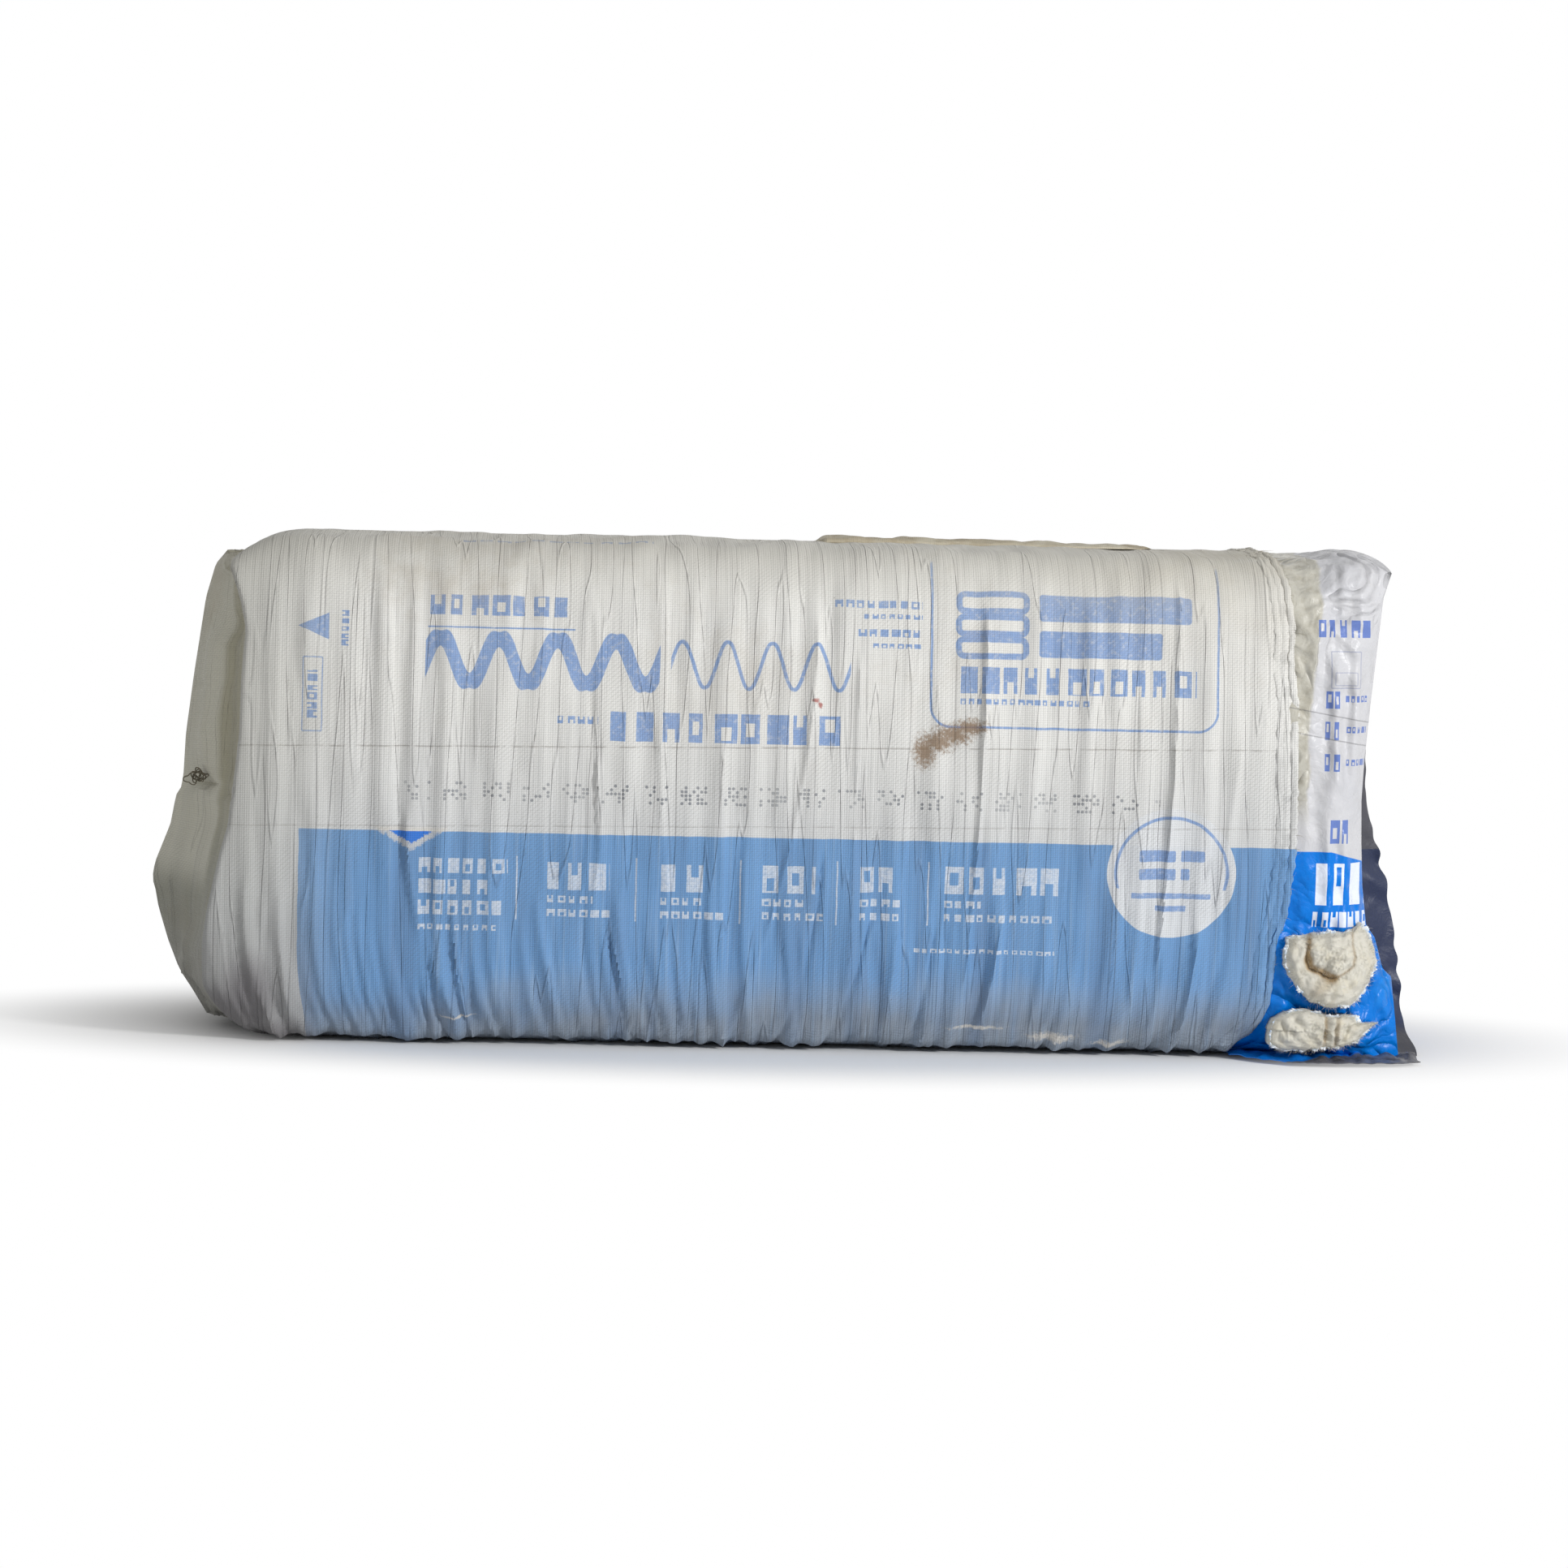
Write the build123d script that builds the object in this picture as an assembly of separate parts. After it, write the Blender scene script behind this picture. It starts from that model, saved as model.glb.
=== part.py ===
from build123d import *
import os

# A pack of unfaced glass wool batts lying on its side: eighteen batts squeezed together face to
# face in a thin film bag, which sits in an outer bag of woven tape. The woven bag is folded shut
# at one end and open at the other, where the film bag stands out of it and is torn.
# X runs along the pack to the open end, Y runs through the stack of batts, and Z is up.
# The origin is under the middle of the whole pack, on the floor. All sizes are in millimetres.

# The batts, each 48 in long and 24 in wide when loose, and squeezed to about a sixth
batt_count = 18
batt_length = 1219.2
batt_thickness = 26.2
batt_width = 553.2
batt_gap = 0.6

# The outline of the squeezed stack, seen from its end, and the rounding of its ends
corner_radius = 78.0
side_bulge = 22.0
top_bulge = 12.0
end_round = 34.0

# How far a trimming form stands clear of the sides that it leaves alone
trim_room = 1.0

# The walls of the two bags, and the space between one layer and the next
film_wall = 1.2
woven_wall = 1.6
layer_gap = 0.5
floor_gap = 0.3

# The woven bag's folded end: a slumped end that leans out at its foot, and on it slopes that rise
# to a leaning ridge, sunk into the end a little where they start
slump_room = 12.0
slump_lean = 52.0
slump_round = 52.0
fold_reach = 110.0
fold_lean = 84.0
fold_inset = 4.0
rim_sink = 1.0
ridge_forward = 60.0
ridge_width = 36.0
ridge_foot = 150.0
ridge_head = 46.0

# The woven bag's mouth, cut back round its lower corner, and its turned hem
mouth_setback = 66.0
mouth_sweep_reach = 66.0
mouth_sweep_height = 250.0
hem_width = 24.0
hem_wall = 1.2

# The lap of cloth that stands up along the top, with its foot sunk into the crowned wall
lap_length = 370.0
lap_width = 62.0
lap_height = 7.0
lap_sink = 3.0
lap_setback = 150.0

# The film bag's gathered end, and the sealed fin on it with a horn at its head and at its foot
gather_reach = 38.0
gather_lean = 32.0
gather_inset = 6.0
gather_width = 26.0
gather_foot = 40.0
gather_head = 48.0
fin_forward = 130.0
head_horn_reach = 46.0
head_horn_drop = 22.0
waist_reach = 24.0
waist_height = 330.0
foot_horn_reach = 74.0

# The two tears in the film, one above the other, and the wool that swells out of them
tear_width = 100.0
tear_height = 92.0
tear_setback = 38.0
tear_foot = 58.0
low_tear_width = 104.0
low_tear_height = 38.0
low_tear_setback = 58.0
low_tear_foot = 12.0
tear_depth = 80.0
tear_clearance = 5.0
swell = 8.0

# How far each surface stands out from the stack of batts
film_inside = layer_gap
film_outside = film_inside + film_wall
woven_inside = film_outside + layer_gap
woven_outside = woven_inside + woven_wall

stack_depth = batt_count * batt_thickness + (batt_count - 1) * batt_gap
stack_foot = woven_outside
stack_top = stack_foot + batt_width
stack_middle = stack_foot + batt_width / 2

# The pack is centred on X = 0 over its whole length, from the folded ridge to the film's foot horn
left_reach = fold_reach
right_reach = film_outside + foot_horn_reach
stack_left = (left_reach - right_reach - batt_length) / 2
stack_right = stack_left + batt_length
film_end = stack_right + film_outside
mouth = stack_right - mouth_setback
through = 2 * stack_depth


def end_outline(grow):
    """The pack's outline seen from its end: a flat foot, bulged sides and a crowned top."""
    side = stack_depth / 2 - side_bulge
    shoulder = stack_top - top_bulge
    foot_front = (-side, stack_foot)
    foot_back = (side, stack_foot)
    top_front = (-side, shoulder)
    top_back = (side, shoulder)
    edges = [
        Line(foot_front, foot_back),
        ThreePointArc(foot_back, (stack_depth / 2, stack_middle), top_back),
        ThreePointArc(top_back, (0, stack_top), top_front),
        ThreePointArc(top_front, (-stack_depth / 2, stack_middle), foot_front),
    ]
    outline = make_face(edges)
    outline = fillet(outline.vertices(), corner_radius)
    if grow:
        outline = offset(outline, amount=grow)
    return outline


def across(x):
    """The plane that cuts straight across the pack at that X, drawn with Y across and Z up."""
    return Plane(origin=(x, 0, 0), x_dir=(0, 1, 0), z_dir=(1, 0, 0))


def left_end(grow):
    """The plane of the stack's left end moved out by grow: X points into the pack and Z up it."""
    return Plane(origin=(stack_left - grow, 0, stack_middle), x_dir=(1, 0, 0), z_dir=(0, 0, 1))


def right_end(grow):
    """The plane of the stack's right end moved out by grow: X points into the pack and Z up it."""
    return Plane(origin=(stack_right + grow, 0, stack_middle), x_dir=(-1, 0, 0), z_dir=(0, 0, 1))


def leaning_end(grow):
    """The plane of the woven bag's slumped end, which leans out at its foot, set out likewise."""
    slope = slump_lean / batt_width
    x_middle = stack_left - slump_room - slump_lean / 2 - grow * (1 + slope**2) ** 0.5
    return Plane(origin=(x_middle, 0, stack_middle), x_dir=(1, 0, -slope), z_dir=(slope, 0, 1))


def upright_round(end, grow, radius):
    """All that lies inside an end and its two rounded upright edges."""
    width = stack_depth + 2 * (grow + trim_room)
    outline = Pos(batt_length, 0) * Rectangle(2 * batt_length, width)
    outline = fillet(outline.vertices().filter_by_position(Axis.X, -1, 1), radius)
    return extrude(end * outline, amount=batt_width, both=True)


def level_round(end, grow, radius):
    """All that lies inside an end and its rounded top and bottom edges."""
    face = Plane(origin=end.origin, x_dir=end.x_dir, z_dir=(0, -1, 0))
    low = stack_foot - grow
    high = stack_top + grow + trim_room
    slope = end.z_dir.X / end.z_dir.Z
    x_low = end.origin.X + slope * (low - stack_middle)
    x_high = end.origin.X + slope * (high - stack_middle)
    far = x_low + end.x_dir.X / abs(end.x_dir.X) * 2 * batt_length
    outline = make_face(Polyline((x_low, low), (far, low), (far, high), (x_high, high), close=True))
    corners = outline.vertices().sort_by(Axis.X, reverse=end.x_dir.X < 0)[:2]
    return extrude(Plane.XZ * fillet(corners, radius), amount=stack_depth, both=True)


def bag_body(ends, grow):
    """The pack's outline carried along and closed by two ends, each with its own rounding."""
    body = extrude(across(0) * end_outline(grow), amount=batt_length, both=True)
    for end, radius in ends:
        body &= level_round(end, grow, radius + grow)
        body &= upright_round(end, grow, radius + grow)
    return body


def pack_body(grow):
    """The stack of batts grown by that much on every side, with its end edges rounded over."""
    return bag_body([(left_end(grow), end_round), (right_end(grow), end_round)], grow)


def slumped_body(grow):
    """The woven bag's body: as the pack at its mouth, and leaning out to its foot at its end."""
    return bag_body([(leaning_end(grow), slump_round), (right_end(grow), end_round)], grow)


def end_rim(end, inset):
    """The rectangle on an end that its drawn-in part starts from, sunk a little for the joint."""
    face = Plane(origin=end.origin, x_dir=end.z_dir, z_dir=end.x_dir)
    height = batt_width - 2 * inset
    width = stack_depth - 2 * side_bulge - 2 * inset
    return face.offset(rim_sink) * Rectangle(height, width)


def ridge_face(x_foot, x_head, y, z_foot, z_head, width):
    """The narrow upright face at a ridge, leaning so that its foot and head are at those X."""
    foot = Vector(x_foot, y, z_foot)
    head = Vector(x_head, y, z_head)
    run = head - foot
    middle = (foot + head) / 2
    lean = Plane(origin=middle, x_dir=run, z_dir=run.cross(Vector(0, 1, 0)))
    if lean.z_dir.X * middle.X > 0:
        lean = Plane(origin=middle, x_dir=run, z_dir=-lean.z_dir)
    return lean * Rectangle(run.length, width)


def folded_end(grow):
    """The woven bag's closed end, which slopes from its leaning end to its leaning ridge."""
    wall = woven_outside - grow
    rim = end_rim(leaning_end(grow), slump_round + fold_inset - grow)
    tip = stack_left - fold_reach + wall
    z_foot = stack_foot + ridge_foot + wall
    z_head = stack_top - ridge_head - wall
    ridge = ridge_face(tip, tip + fold_lean, -ridge_forward, z_foot, z_head, ridge_width - 2 * wall)
    return loft([rim, ridge], ruled=True)


def gathered_end(grow):
    """The film bag's drawn-in end, which slopes from the end of the pack to its leaning ridge."""
    wall = film_outside - grow
    rim = end_rim(right_end(grow), end_round + gather_inset - grow)
    tip = film_end + gather_reach - wall
    z_foot = stack_foot + gather_foot + wall
    z_head = stack_top - gather_head - wall
    ridge = ridge_face(tip, tip - gather_lean, 0, z_foot, z_head, gather_width - 2 * wall)
    return loft([rim, ridge], ruled=True)


def sealed_fin():
    """The film's end seal, two layers thick, hollowed between its horns at head and foot."""
    inner = stack_right - end_round
    head = stack_top + film_outside - head_horn_drop
    head_tip = (film_end + head_horn_reach, head)
    foot_tip = (film_end + foot_horn_reach, floor_gap)
    waist = (film_end + waist_reach, waist_height)
    edges = [
        Line((inner, floor_gap), foot_tip),
        ThreePointArc(foot_tip, waist, head_tip),
        Line(head_tip, (inner, stack_top)),
        Line((inner, stack_top), (inner, floor_gap)),
    ]
    return Pos(0, -fin_forward, 0) * extrude(Plane.XZ * make_face(edges), amount=film_wall, both=True)


def tear_cutters(shrink):
    """The two ragged holes as oval posts through the front wall, smaller all round by shrink."""
    holes = [
        (tear_width, tear_height, tear_setback, tear_foot),
        (low_tear_width, low_tear_height, low_tear_setback, low_tear_foot),
    ]
    posts = []
    for width, height, setback, foot in holes:
        oval = Ellipse(width / 2 - shrink, height / 2 - shrink)
        place = Plane(origin=(film_end - setback, 0, foot + height / 2), z_dir=(0, -1, 0), x_dir=(1, 0, 0))
        post = extrude(place * oval, amount=through)
        posts.append(post & front_slice(tear_depth))
    return posts


def front_slice(depth):
    """A slab that takes in whatever stands in front of that depth behind the pack's front."""
    y_back = -stack_depth / 2 + depth
    return Pos(0, y_back - through / 2, stack_middle) * Box(3 * batt_length, through, 3 * batt_width)


def swollen_wool():
    """The wool pushed out of each tear, the pack's own form grown outward within the hole."""
    swelled = pack_body(swell) & front_slice(batt_thickness) & beyond_mouth(mouth + tear_clearance)
    return [swelled & post for post in tear_cutters(tear_clearance)]


def batts():
    """The stack cut into its batts by the thin gaps between them, swollen at the tears."""
    stack = pack_body(0)
    for plug in swollen_wool():
        stack += plug
    pitch = batt_thickness + batt_gap
    first = -stack_depth / 2 + batt_thickness + batt_gap / 2
    gaps = [
        Pos(stack_left + batt_length / 2, first + n * pitch, stack_middle)
        * Box(2 * batt_length, batt_gap, 2 * batt_width)
        for n in range(batt_count - 1)
    ]
    return stack - gaps


def film_bag():
    """The inner bag: a closed skin round the batts with its sealed fin and its two tears."""
    outside = pack_body(film_outside) + gathered_end(film_outside)
    outside += sealed_fin()
    inside = pack_body(film_inside) + gathered_end(film_inside)
    skin = outside - inside
    for post in tear_cutters(0):
        skin -= post
    return skin


def beyond_mouth(x_edge):
    """All that lies past the woven bag's mouth, which sweeps back along an oval to its foot."""
    low = -woven_wall
    high = stack_top + woven_outside + hem_wall + trim_room
    far = film_end + foot_horn_reach
    sweep_top = low + mouth_sweep_height
    sweep_foot = x_edge - mouth_sweep_reach
    edges = [
        Line((far, low), (sweep_foot, low)),
        EllipticalCenterArc(
            (sweep_foot, sweep_top), mouth_sweep_reach, mouth_sweep_height, start_angle=270, arc_size=90
        ),
        Line((x_edge, sweep_top), (x_edge, high)),
        Line((x_edge, high), (far, high)),
        Line((far, high), (far, low)),
    ]
    return extrude(Plane.XZ * make_face(edges), amount=through / 2, both=True)


def turned_hem():
    """The doubled cloth along the mouth, trimmed flush where the pack rests."""
    below = Pos(0, 0, -through / 2) * Box(3 * batt_length, through, through)
    hem = pack_body(woven_outside + hem_wall) & beyond_mouth(mouth - hem_width)
    return hem - below - pack_body(woven_inside) - beyond_mouth(mouth)


def top_lap():
    """The strip of spare cloth that lies in a welt along the top of the pack."""
    x_middle = mouth - lap_setback - lap_length / 2
    z_foot = stack_top + woven_inside - lap_sink
    height = stack_top + woven_outside + lap_height - z_foot
    lap = Pos(x_middle, 0, z_foot + height / 2) * Box(lap_length, lap_width, height)
    return lap - pack_body(woven_inside)


def woven_bag():
    """The outer bag: folded shut at one end and open at the other, with its hem and its lap."""
    outside = slumped_body(woven_outside) + folded_end(woven_outside)
    inside = slumped_body(woven_inside) + folded_end(woven_inside)
    cloth = outside - inside - beyond_mouth(mouth)
    return cloth + turned_hem() + top_lap()


if __name__ == "__main__":
    os.makedirs("parts", exist_ok=True)
    export_step(batts(), "parts/batts.step")
    export_step(film_bag(), "parts/film_bag.step")
    export_step(woven_bag(), "parts/woven_bag.step")
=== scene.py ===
"""Dresses a pack of glass wool batts: a woven bag folded shut at one end, the torn film bag that
stands out of its mouth, the eighteen batts in them and the wool that swells out of the tears."""

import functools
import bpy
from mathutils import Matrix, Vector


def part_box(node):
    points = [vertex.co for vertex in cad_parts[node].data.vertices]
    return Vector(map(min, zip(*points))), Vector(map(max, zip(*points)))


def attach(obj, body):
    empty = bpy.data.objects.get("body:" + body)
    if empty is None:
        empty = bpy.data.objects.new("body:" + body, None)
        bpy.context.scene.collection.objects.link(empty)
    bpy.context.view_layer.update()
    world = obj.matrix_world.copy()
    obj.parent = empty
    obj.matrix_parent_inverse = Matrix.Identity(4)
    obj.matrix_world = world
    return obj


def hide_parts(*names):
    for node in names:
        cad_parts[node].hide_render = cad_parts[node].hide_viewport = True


bl_info = {
    "name": "Batt pack",
    "version": (1, 0, 0),
    "blender": (4, 5, 0),
    "location": "View3D > Sidebar > Batt pack",
    "description": "Builds a pack of glass wool batts in its woven bag and torn film bag",
    "category": "Object",
}

import bmesh
import bpy
import numpy as np
from bpy.props import FloatProperty, FloatVectorProperty, IntProperty, PointerProperty
from mathutils import Matrix, Vector

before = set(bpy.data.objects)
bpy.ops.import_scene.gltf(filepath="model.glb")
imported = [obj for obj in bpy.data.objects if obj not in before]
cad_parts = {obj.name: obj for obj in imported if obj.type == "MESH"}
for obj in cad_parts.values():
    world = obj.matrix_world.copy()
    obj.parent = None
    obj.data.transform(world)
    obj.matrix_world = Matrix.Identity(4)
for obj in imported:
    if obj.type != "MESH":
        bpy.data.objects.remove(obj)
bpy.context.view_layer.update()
BATTS_LOW, BATTS_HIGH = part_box("batts")

CLOTH_UV = "cloth"
FULL_TURN = 2 * np.pi


# Sizes, colours and wear that a user would change


def length(name, description, default):
    """A size in metres."""
    return FloatProperty(name=name, description=description, default=default, unit="LENGTH", precision=4)


def colour(name, description, red, green, blue):
    """A colour given as 0 to 255 display values and kept as linear light."""
    shade = paint(red, green, blue)
    return FloatVectorProperty(name=name, description=description, default=shade, size=4, subtype="COLOR")


def paint(red, green, blue):
    """Display values of 0 to 255 as linear light, each through the display curve, and opaque."""
    shown = np.array([red, green, blue]) / 255
    light = np.where(shown <= 0.04045, shown / 12.92, ((shown + 0.055) / 1.055) ** 2.4)
    return (*light.tolist(), 1.0)


class PackSizes(bpy.types.PropertyGroup):
    """Sizes of the squeezed stack and of the bags round it."""

    stack_left: length("Stack left", "Where the batts end inside the folded end", float(BATTS_LOW.x))
    stack_right: length("Stack right", "Where the batts end inside the film's open end", 0.6267)
    stack_depth: length("Stack depth", "Thickness of all the squeezed batts together", 0.4818)
    stack_foot: length("Stack foot", "Height of the batts' foot above the floor", float(BATTS_LOW.z))
    stack_height: length("Stack height", "Width of an upright batt", float(BATTS_HIGH.z - BATTS_LOW.z))
    corner_radius: length("Corner radius", "Rounding of the stack's four long edges", 0.078)
    side_bulge: length("Side bulge", "How far the front and back swell out", 0.022)
    top_bulge: length("Top bulge", "How far the top swells up", 0.012)
    batt_gap: length("Batt gap", "Space between one batt and the next", 0.0006)
    cloth_out: length("Cloth out", "How far the woven cloth stands out from the batts", 0.0038)
    cloth_in: length("Cloth in", "How far the inside of the woven cloth is from the batts", 0.0024)
    film_out: length("Film out", "How far the film stands out from the batts", 0.0017)
    hem_width: length("Hem width", "Width of the turned hem", 0.024)
    batt_count: IntProperty(name="Batts", description="How many batts are in the pack", default=18)


class PackColours(bpy.types.PropertyGroup):
    """Colours of the bags, their print and the wool."""

    cloth: colour("Cloth", "Woven plastic cloth where it is clean", 214, 213, 209)
    cloth_low: colour("Cloth near the floor", "Greyer cloth towards the floor", 186, 189, 193)
    ink: colour("Ink", "Muted blue of the printed bars", 118, 148, 194)
    band: colour("Band", "Printed blue band along the foot", 98, 144, 192)
    band_low: colour("Band low", "The band where it greys towards the floor", 132, 143, 157)
    grime: colour("Grime", "Brown yard dirt on the cloth", 146, 128, 98)
    # The folded end's cloth: yellowed by dirt, and painted darker as shade
    end_cloth_and_shade: colour("End cloth", "Dull cloth of the folded end", 172, 168, 146)
    film: colour("Film", "White film", 193, 193, 196)
    film_band: colour("Film band", "Bright blue band of the film", 0, 112, 204)
    # The film's turned-back side, painted as in shade: its white as dark grey and its blue band as navy
    film_shaded_grey: colour("Dark film", "The film's turned-back side, above the band", 58, 58, 66)
    film_shaded_navy: colour("Navy film", "The film's turned-back side, in the band", 4, 24, 60)
    wool: colour("Wool", "Cream of the glass wool", 206, 203, 192)
    # Yellower wool in its folds, painted darker too as shade
    wool_deep_and_shade: colour("Deep wool", "Yellower wool down in its folds", 150, 122, 78)


class PackWear(bpy.types.PropertyGroup):
    """How creased and crumpled the bags are."""

    crease_height: length("Crease height", "Height of the woven bag's main creases", 0.0027)
    crumple: length("Crumple", "Height of the film's crumples", 0.004)


# The pack's outline as a length round its girth


def circle_through(first, second, third):
    """Centre and radius of the circle through three points, where the three distances are equal."""
    (ax, ay), (bx, by), (cx, cy) = first, second, third
    turn = 2 * (ax * (by - cy) + bx * (cy - ay) + cx * (ay - by))
    a, b, c = ax * ax + ay * ay, bx * bx + by * by, cx * cx + cy * cy
    x = (a * (by - cy) + b * (cy - ay) + c * (ay - by)) / turn
    y = (a * (cx - bx) + b * (ax - cx) + c * (bx - ax)) / turn
    return x, y, float(np.hypot(ax - x, ay - y))


def arc(centre, radius, start, end, count):
    """Centre plus radius times (cosine, sine) of an angle that runs from start to end."""
    angle = np.linspace(start, end, count)
    out = np.stack([np.cos(angle), np.sin(angle)], axis=-1)
    return np.asarray(centre) + radius * out, out


def turn_to(from_y, from_z, to_y, to_z):
    """The angle from one point to another, between minus one turn and 0."""
    return np.arctan2(to_z - from_z, to_y - from_y) % FULL_TURN - FULL_TURN


def outline_half(sizes):
    """Half the outline seen from the end, from the middle of the foot up the front to the middle of
    the top: a flat, a corner arc, the bulged side's long arc, a corner arc and the crown's arc. Each
    corner arc's centre is where circles drawn inside its two neighbours by its radius cross."""
    side = sizes.stack_depth / 2 - sizes.side_bulge
    foot, top = sizes.stack_foot, sizes.stack_foot + sizes.stack_height
    shoulder, radius = top - sizes.top_bulge, sizes.corner_radius
    middle = (foot + top) / 2
    side_y, side_z, side_r = circle_through((-side, foot), (-sizes.stack_depth / 2, middle), (-side, shoulder))
    crown_y, crown_z, crown_r = circle_through((-side, shoulder), (0, top), (side, shoulder))
    low_z = foot + radius
    low_y = side_y - np.sqrt((side_r - radius) ** 2 - (low_z - side_z) ** 2)
    gap_y, gap_z = crown_y - side_y, crown_z - side_z
    gap = np.hypot(gap_y, gap_z)
    along = ((side_r - radius) ** 2 - (crown_r - radius) ** 2 + gap**2) / (2 * gap)
    off = np.sqrt((side_r - radius) ** 2 - along**2)
    choices = [
        (side_y + (along * gap_y + s * off * gap_z) / gap, side_z + (along * gap_z - s * off * gap_y) / gap)
        for s in (1, -1)
    ]
    high_y, high_z = min(choices, key=lambda p: np.hypot(p[0] + side, p[1] - shoulder))
    turn_low = turn_to(side_y, side_z, low_y, low_z)
    turn_high = turn_to(side_y, side_z, high_y, high_z)
    turn_crown = turn_to(crown_y, crown_z, high_y, high_z)
    flat_y = np.linspace(0, low_y, 60)
    flat = np.stack([flat_y, np.full(60, foot)], axis=-1), np.tile([0.0, -1.0], (60, 1))
    pieces = [
        flat,
        arc((low_y, low_z), radius, -np.pi / 2, turn_low, 80),
        arc((side_y, side_z), side_r, turn_low, turn_high, 160),
        arc((high_y, high_z), radius, turn_high, turn_crown, 80),
        arc((crown_y, crown_z), crown_r, turn_crown, -1.5 * np.pi, 80),
    ]
    return np.concatenate([p[0] for p in pieces]), np.concatenate([p[1] for p in pieces])


class Girth:
    """The outline as a table: the point and the outward direction at a length s round it, counted
    from the middle of the foot, up the front, over the top and down the back."""

    def __init__(self, sizes):
        points, out = outline_half(sizes)
        steps = np.hypot(*np.diff(points, axis=0).T)
        self.lengths = np.concatenate([[0], np.cumsum(steps)])
        self.points, self.out = points, out
        self.half = float(self.lengths[-1])
        widest = int(np.argmin(points[:, 0]))
        self.level = float(points[widest, 1] - self.lengths[widest])

    def at(self, s):
        """Y, Z and the outward Y and Z at each s: the back is the front with Y turned round."""
        s = np.asarray(s, float)
        near = np.where(s <= self.half, s, 2 * self.half - s)
        side = np.where(s <= self.half, 1.0, -1.0)
        y, z = (np.interp(near, self.lengths, self.points[:, n]) for n in (0, 1))
        out_y, out_z = (np.interp(near, self.lengths, self.out[:, n]) for n in (0, 1))
        return side * y, z, side * out_y, out_z

    def height(self, s):
        """The height on the cloth: s less the s of the widest point, plus that point's Z, so that it
        is Z on the front and goes on as a length over the top; the back counts as the front."""
        near = np.where(s <= self.half, s, 2 * self.half - s)
        return near + self.level

    def rows(self, low, corner, side, high):
        """Lengths s for a grid's rows, as many on the back as on the front: low rows on the foot,
        corner rows on each long edge, side rows between them and high rows on the top."""
        cuts = [0, self.lengths[59], self.lengths[139], self.lengths[299], self.lengths[379], self.half]
        counts = [low, corner, side, corner, high]
        runs = [np.linspace(a, b, n, endpoint=False) for a, b, n in zip(cuts, cuts[1:], counts)]
        front = np.concatenate([*runs, [self.half]])
        return np.concatenate([front, 2 * self.half - front[-2:0:-1]])


def read_off(table, value):
    """The second column of a table where its first column is the value, on straight lines."""
    return np.interp(value, table[:, 0], table[:, 1])


def eased(jog):
    """Random steps smoothed: half of each plus a quarter of each neighbour."""
    return 0.5 * jog + 0.25 * np.roll(jog, 1, axis=-1) + 0.25 * np.roll(jog, -1, axis=-1)


def bell(across, along, wide, long):
    """A round bump: e to the minus of the sum of the squares of each distance over its width."""
    return np.exp(-((across / wide) ** 2) - (along / long) ** 2)


def smooth_step(value, low, high):
    """0 below low, 1 above high, and three t squared less two t cubed between them."""
    t = np.clip((value - low) / (high - low), 0, 1)
    return t * t * (3 - 2 * t)


def window(value, low, high, soft):
    """1 between low and high, falling to 0 over a soft border outside them."""
    return smooth_step(value, low - soft, low) * (1 - smooth_step(value, high, high + soft))


def wave_noise(seed, across, along, across_step, along_step, count=28):
    """A smooth random field: a sum of cosines of random directions and phases, with wavelengths
    about as long as the two steps, divided by the root of half their number."""
    rng = np.random.default_rng(seed)
    total = 0.0
    for _ in range(count):
        turn, phase = rng.uniform(0, FULL_TURN, 2)
        pace = rng.uniform(0.6, 1.6)
        a = np.cos(turn) * pace / across_step
        b = np.sin(turn) * pace / along_step
        total = total + np.cos(FULL_TURN * (a * across + b * along) + phase)
    return total / np.sqrt(count / 2)


def folds(seed, across, along, step, drift, count=24):
    """A smooth field that waves across and drifts along: a sum of cosines of random phases, each
    about a step long across, with a random slow turn along, divided by the root of half their
    number."""
    rng = np.random.default_rng(seed)
    total = 0.0
    for _ in range(count):
        pace = rng.uniform(0.6, 1.5) / step
        slant = rng.normal(0, 1) / drift
        total = total + np.cos(FULL_TURN * (pace * across + slant * along) + rng.uniform(0, FULL_TURN))
    return total / np.sqrt(count / 2)


def ridges(field, sharp):
    """Crisp ridges where a field crosses zero: e to the minus of its size over a sharpness, so they
    wander, fork and join."""
    return np.exp(-np.abs(field) / sharp)


def facets(seed, across, along, step, count=6):
    """Crisp crumples with flat facets: a sum of triangle waves in random directions, each the
    distance of its phase from the nearest whole number, bent a little by slow noise."""
    rng = np.random.default_rng(seed)
    bend = 0.12 * wave_noise(seed + 500, across, along, step * 2.5, step * 2.5, 10)
    total = 0.0
    for _ in range(count):
        turn, phase, pace = rng.uniform(0, np.pi), rng.uniform(), rng.uniform(0.5, 1.6)
        run = (across * np.cos(turn) + along * np.sin(turn)) * pace / step + phase + bend
        total = total + (np.abs(run - np.round(run)) * 4 - 1) / pace
    return total / count**0.5


def creases(across, along, table):
    """The sum of long ridges. Each has its height times e to the minus 1.4 power of the distance from
    its middle line over its width, between a low and a high end. The middle line leans and bows as it
    goes down from its high end."""
    total = np.zeros(np.broadcast(across, along).shape)
    for middle, lean, bow, low, high, width, height in table:
        down = high - along
        line = middle + lean * down + bow * down**2
        near = np.exp(-np.abs((across - line) / width) ** 1.4)
        total += height * near * window(along, low, high, 0.03)
    return total


# Meshes


def join(*parts):
    """Coordinates put together as points, each spread over the others' grid."""
    return np.stack(np.broadcast_arrays(*parts), axis=-1)


def number_grid(points):
    """The vertex numbers of a grid of points, as a table of its rows and columns."""
    return np.arange(points.shape[0] * points.shape[1]).reshape(points.shape[:2])


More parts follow.
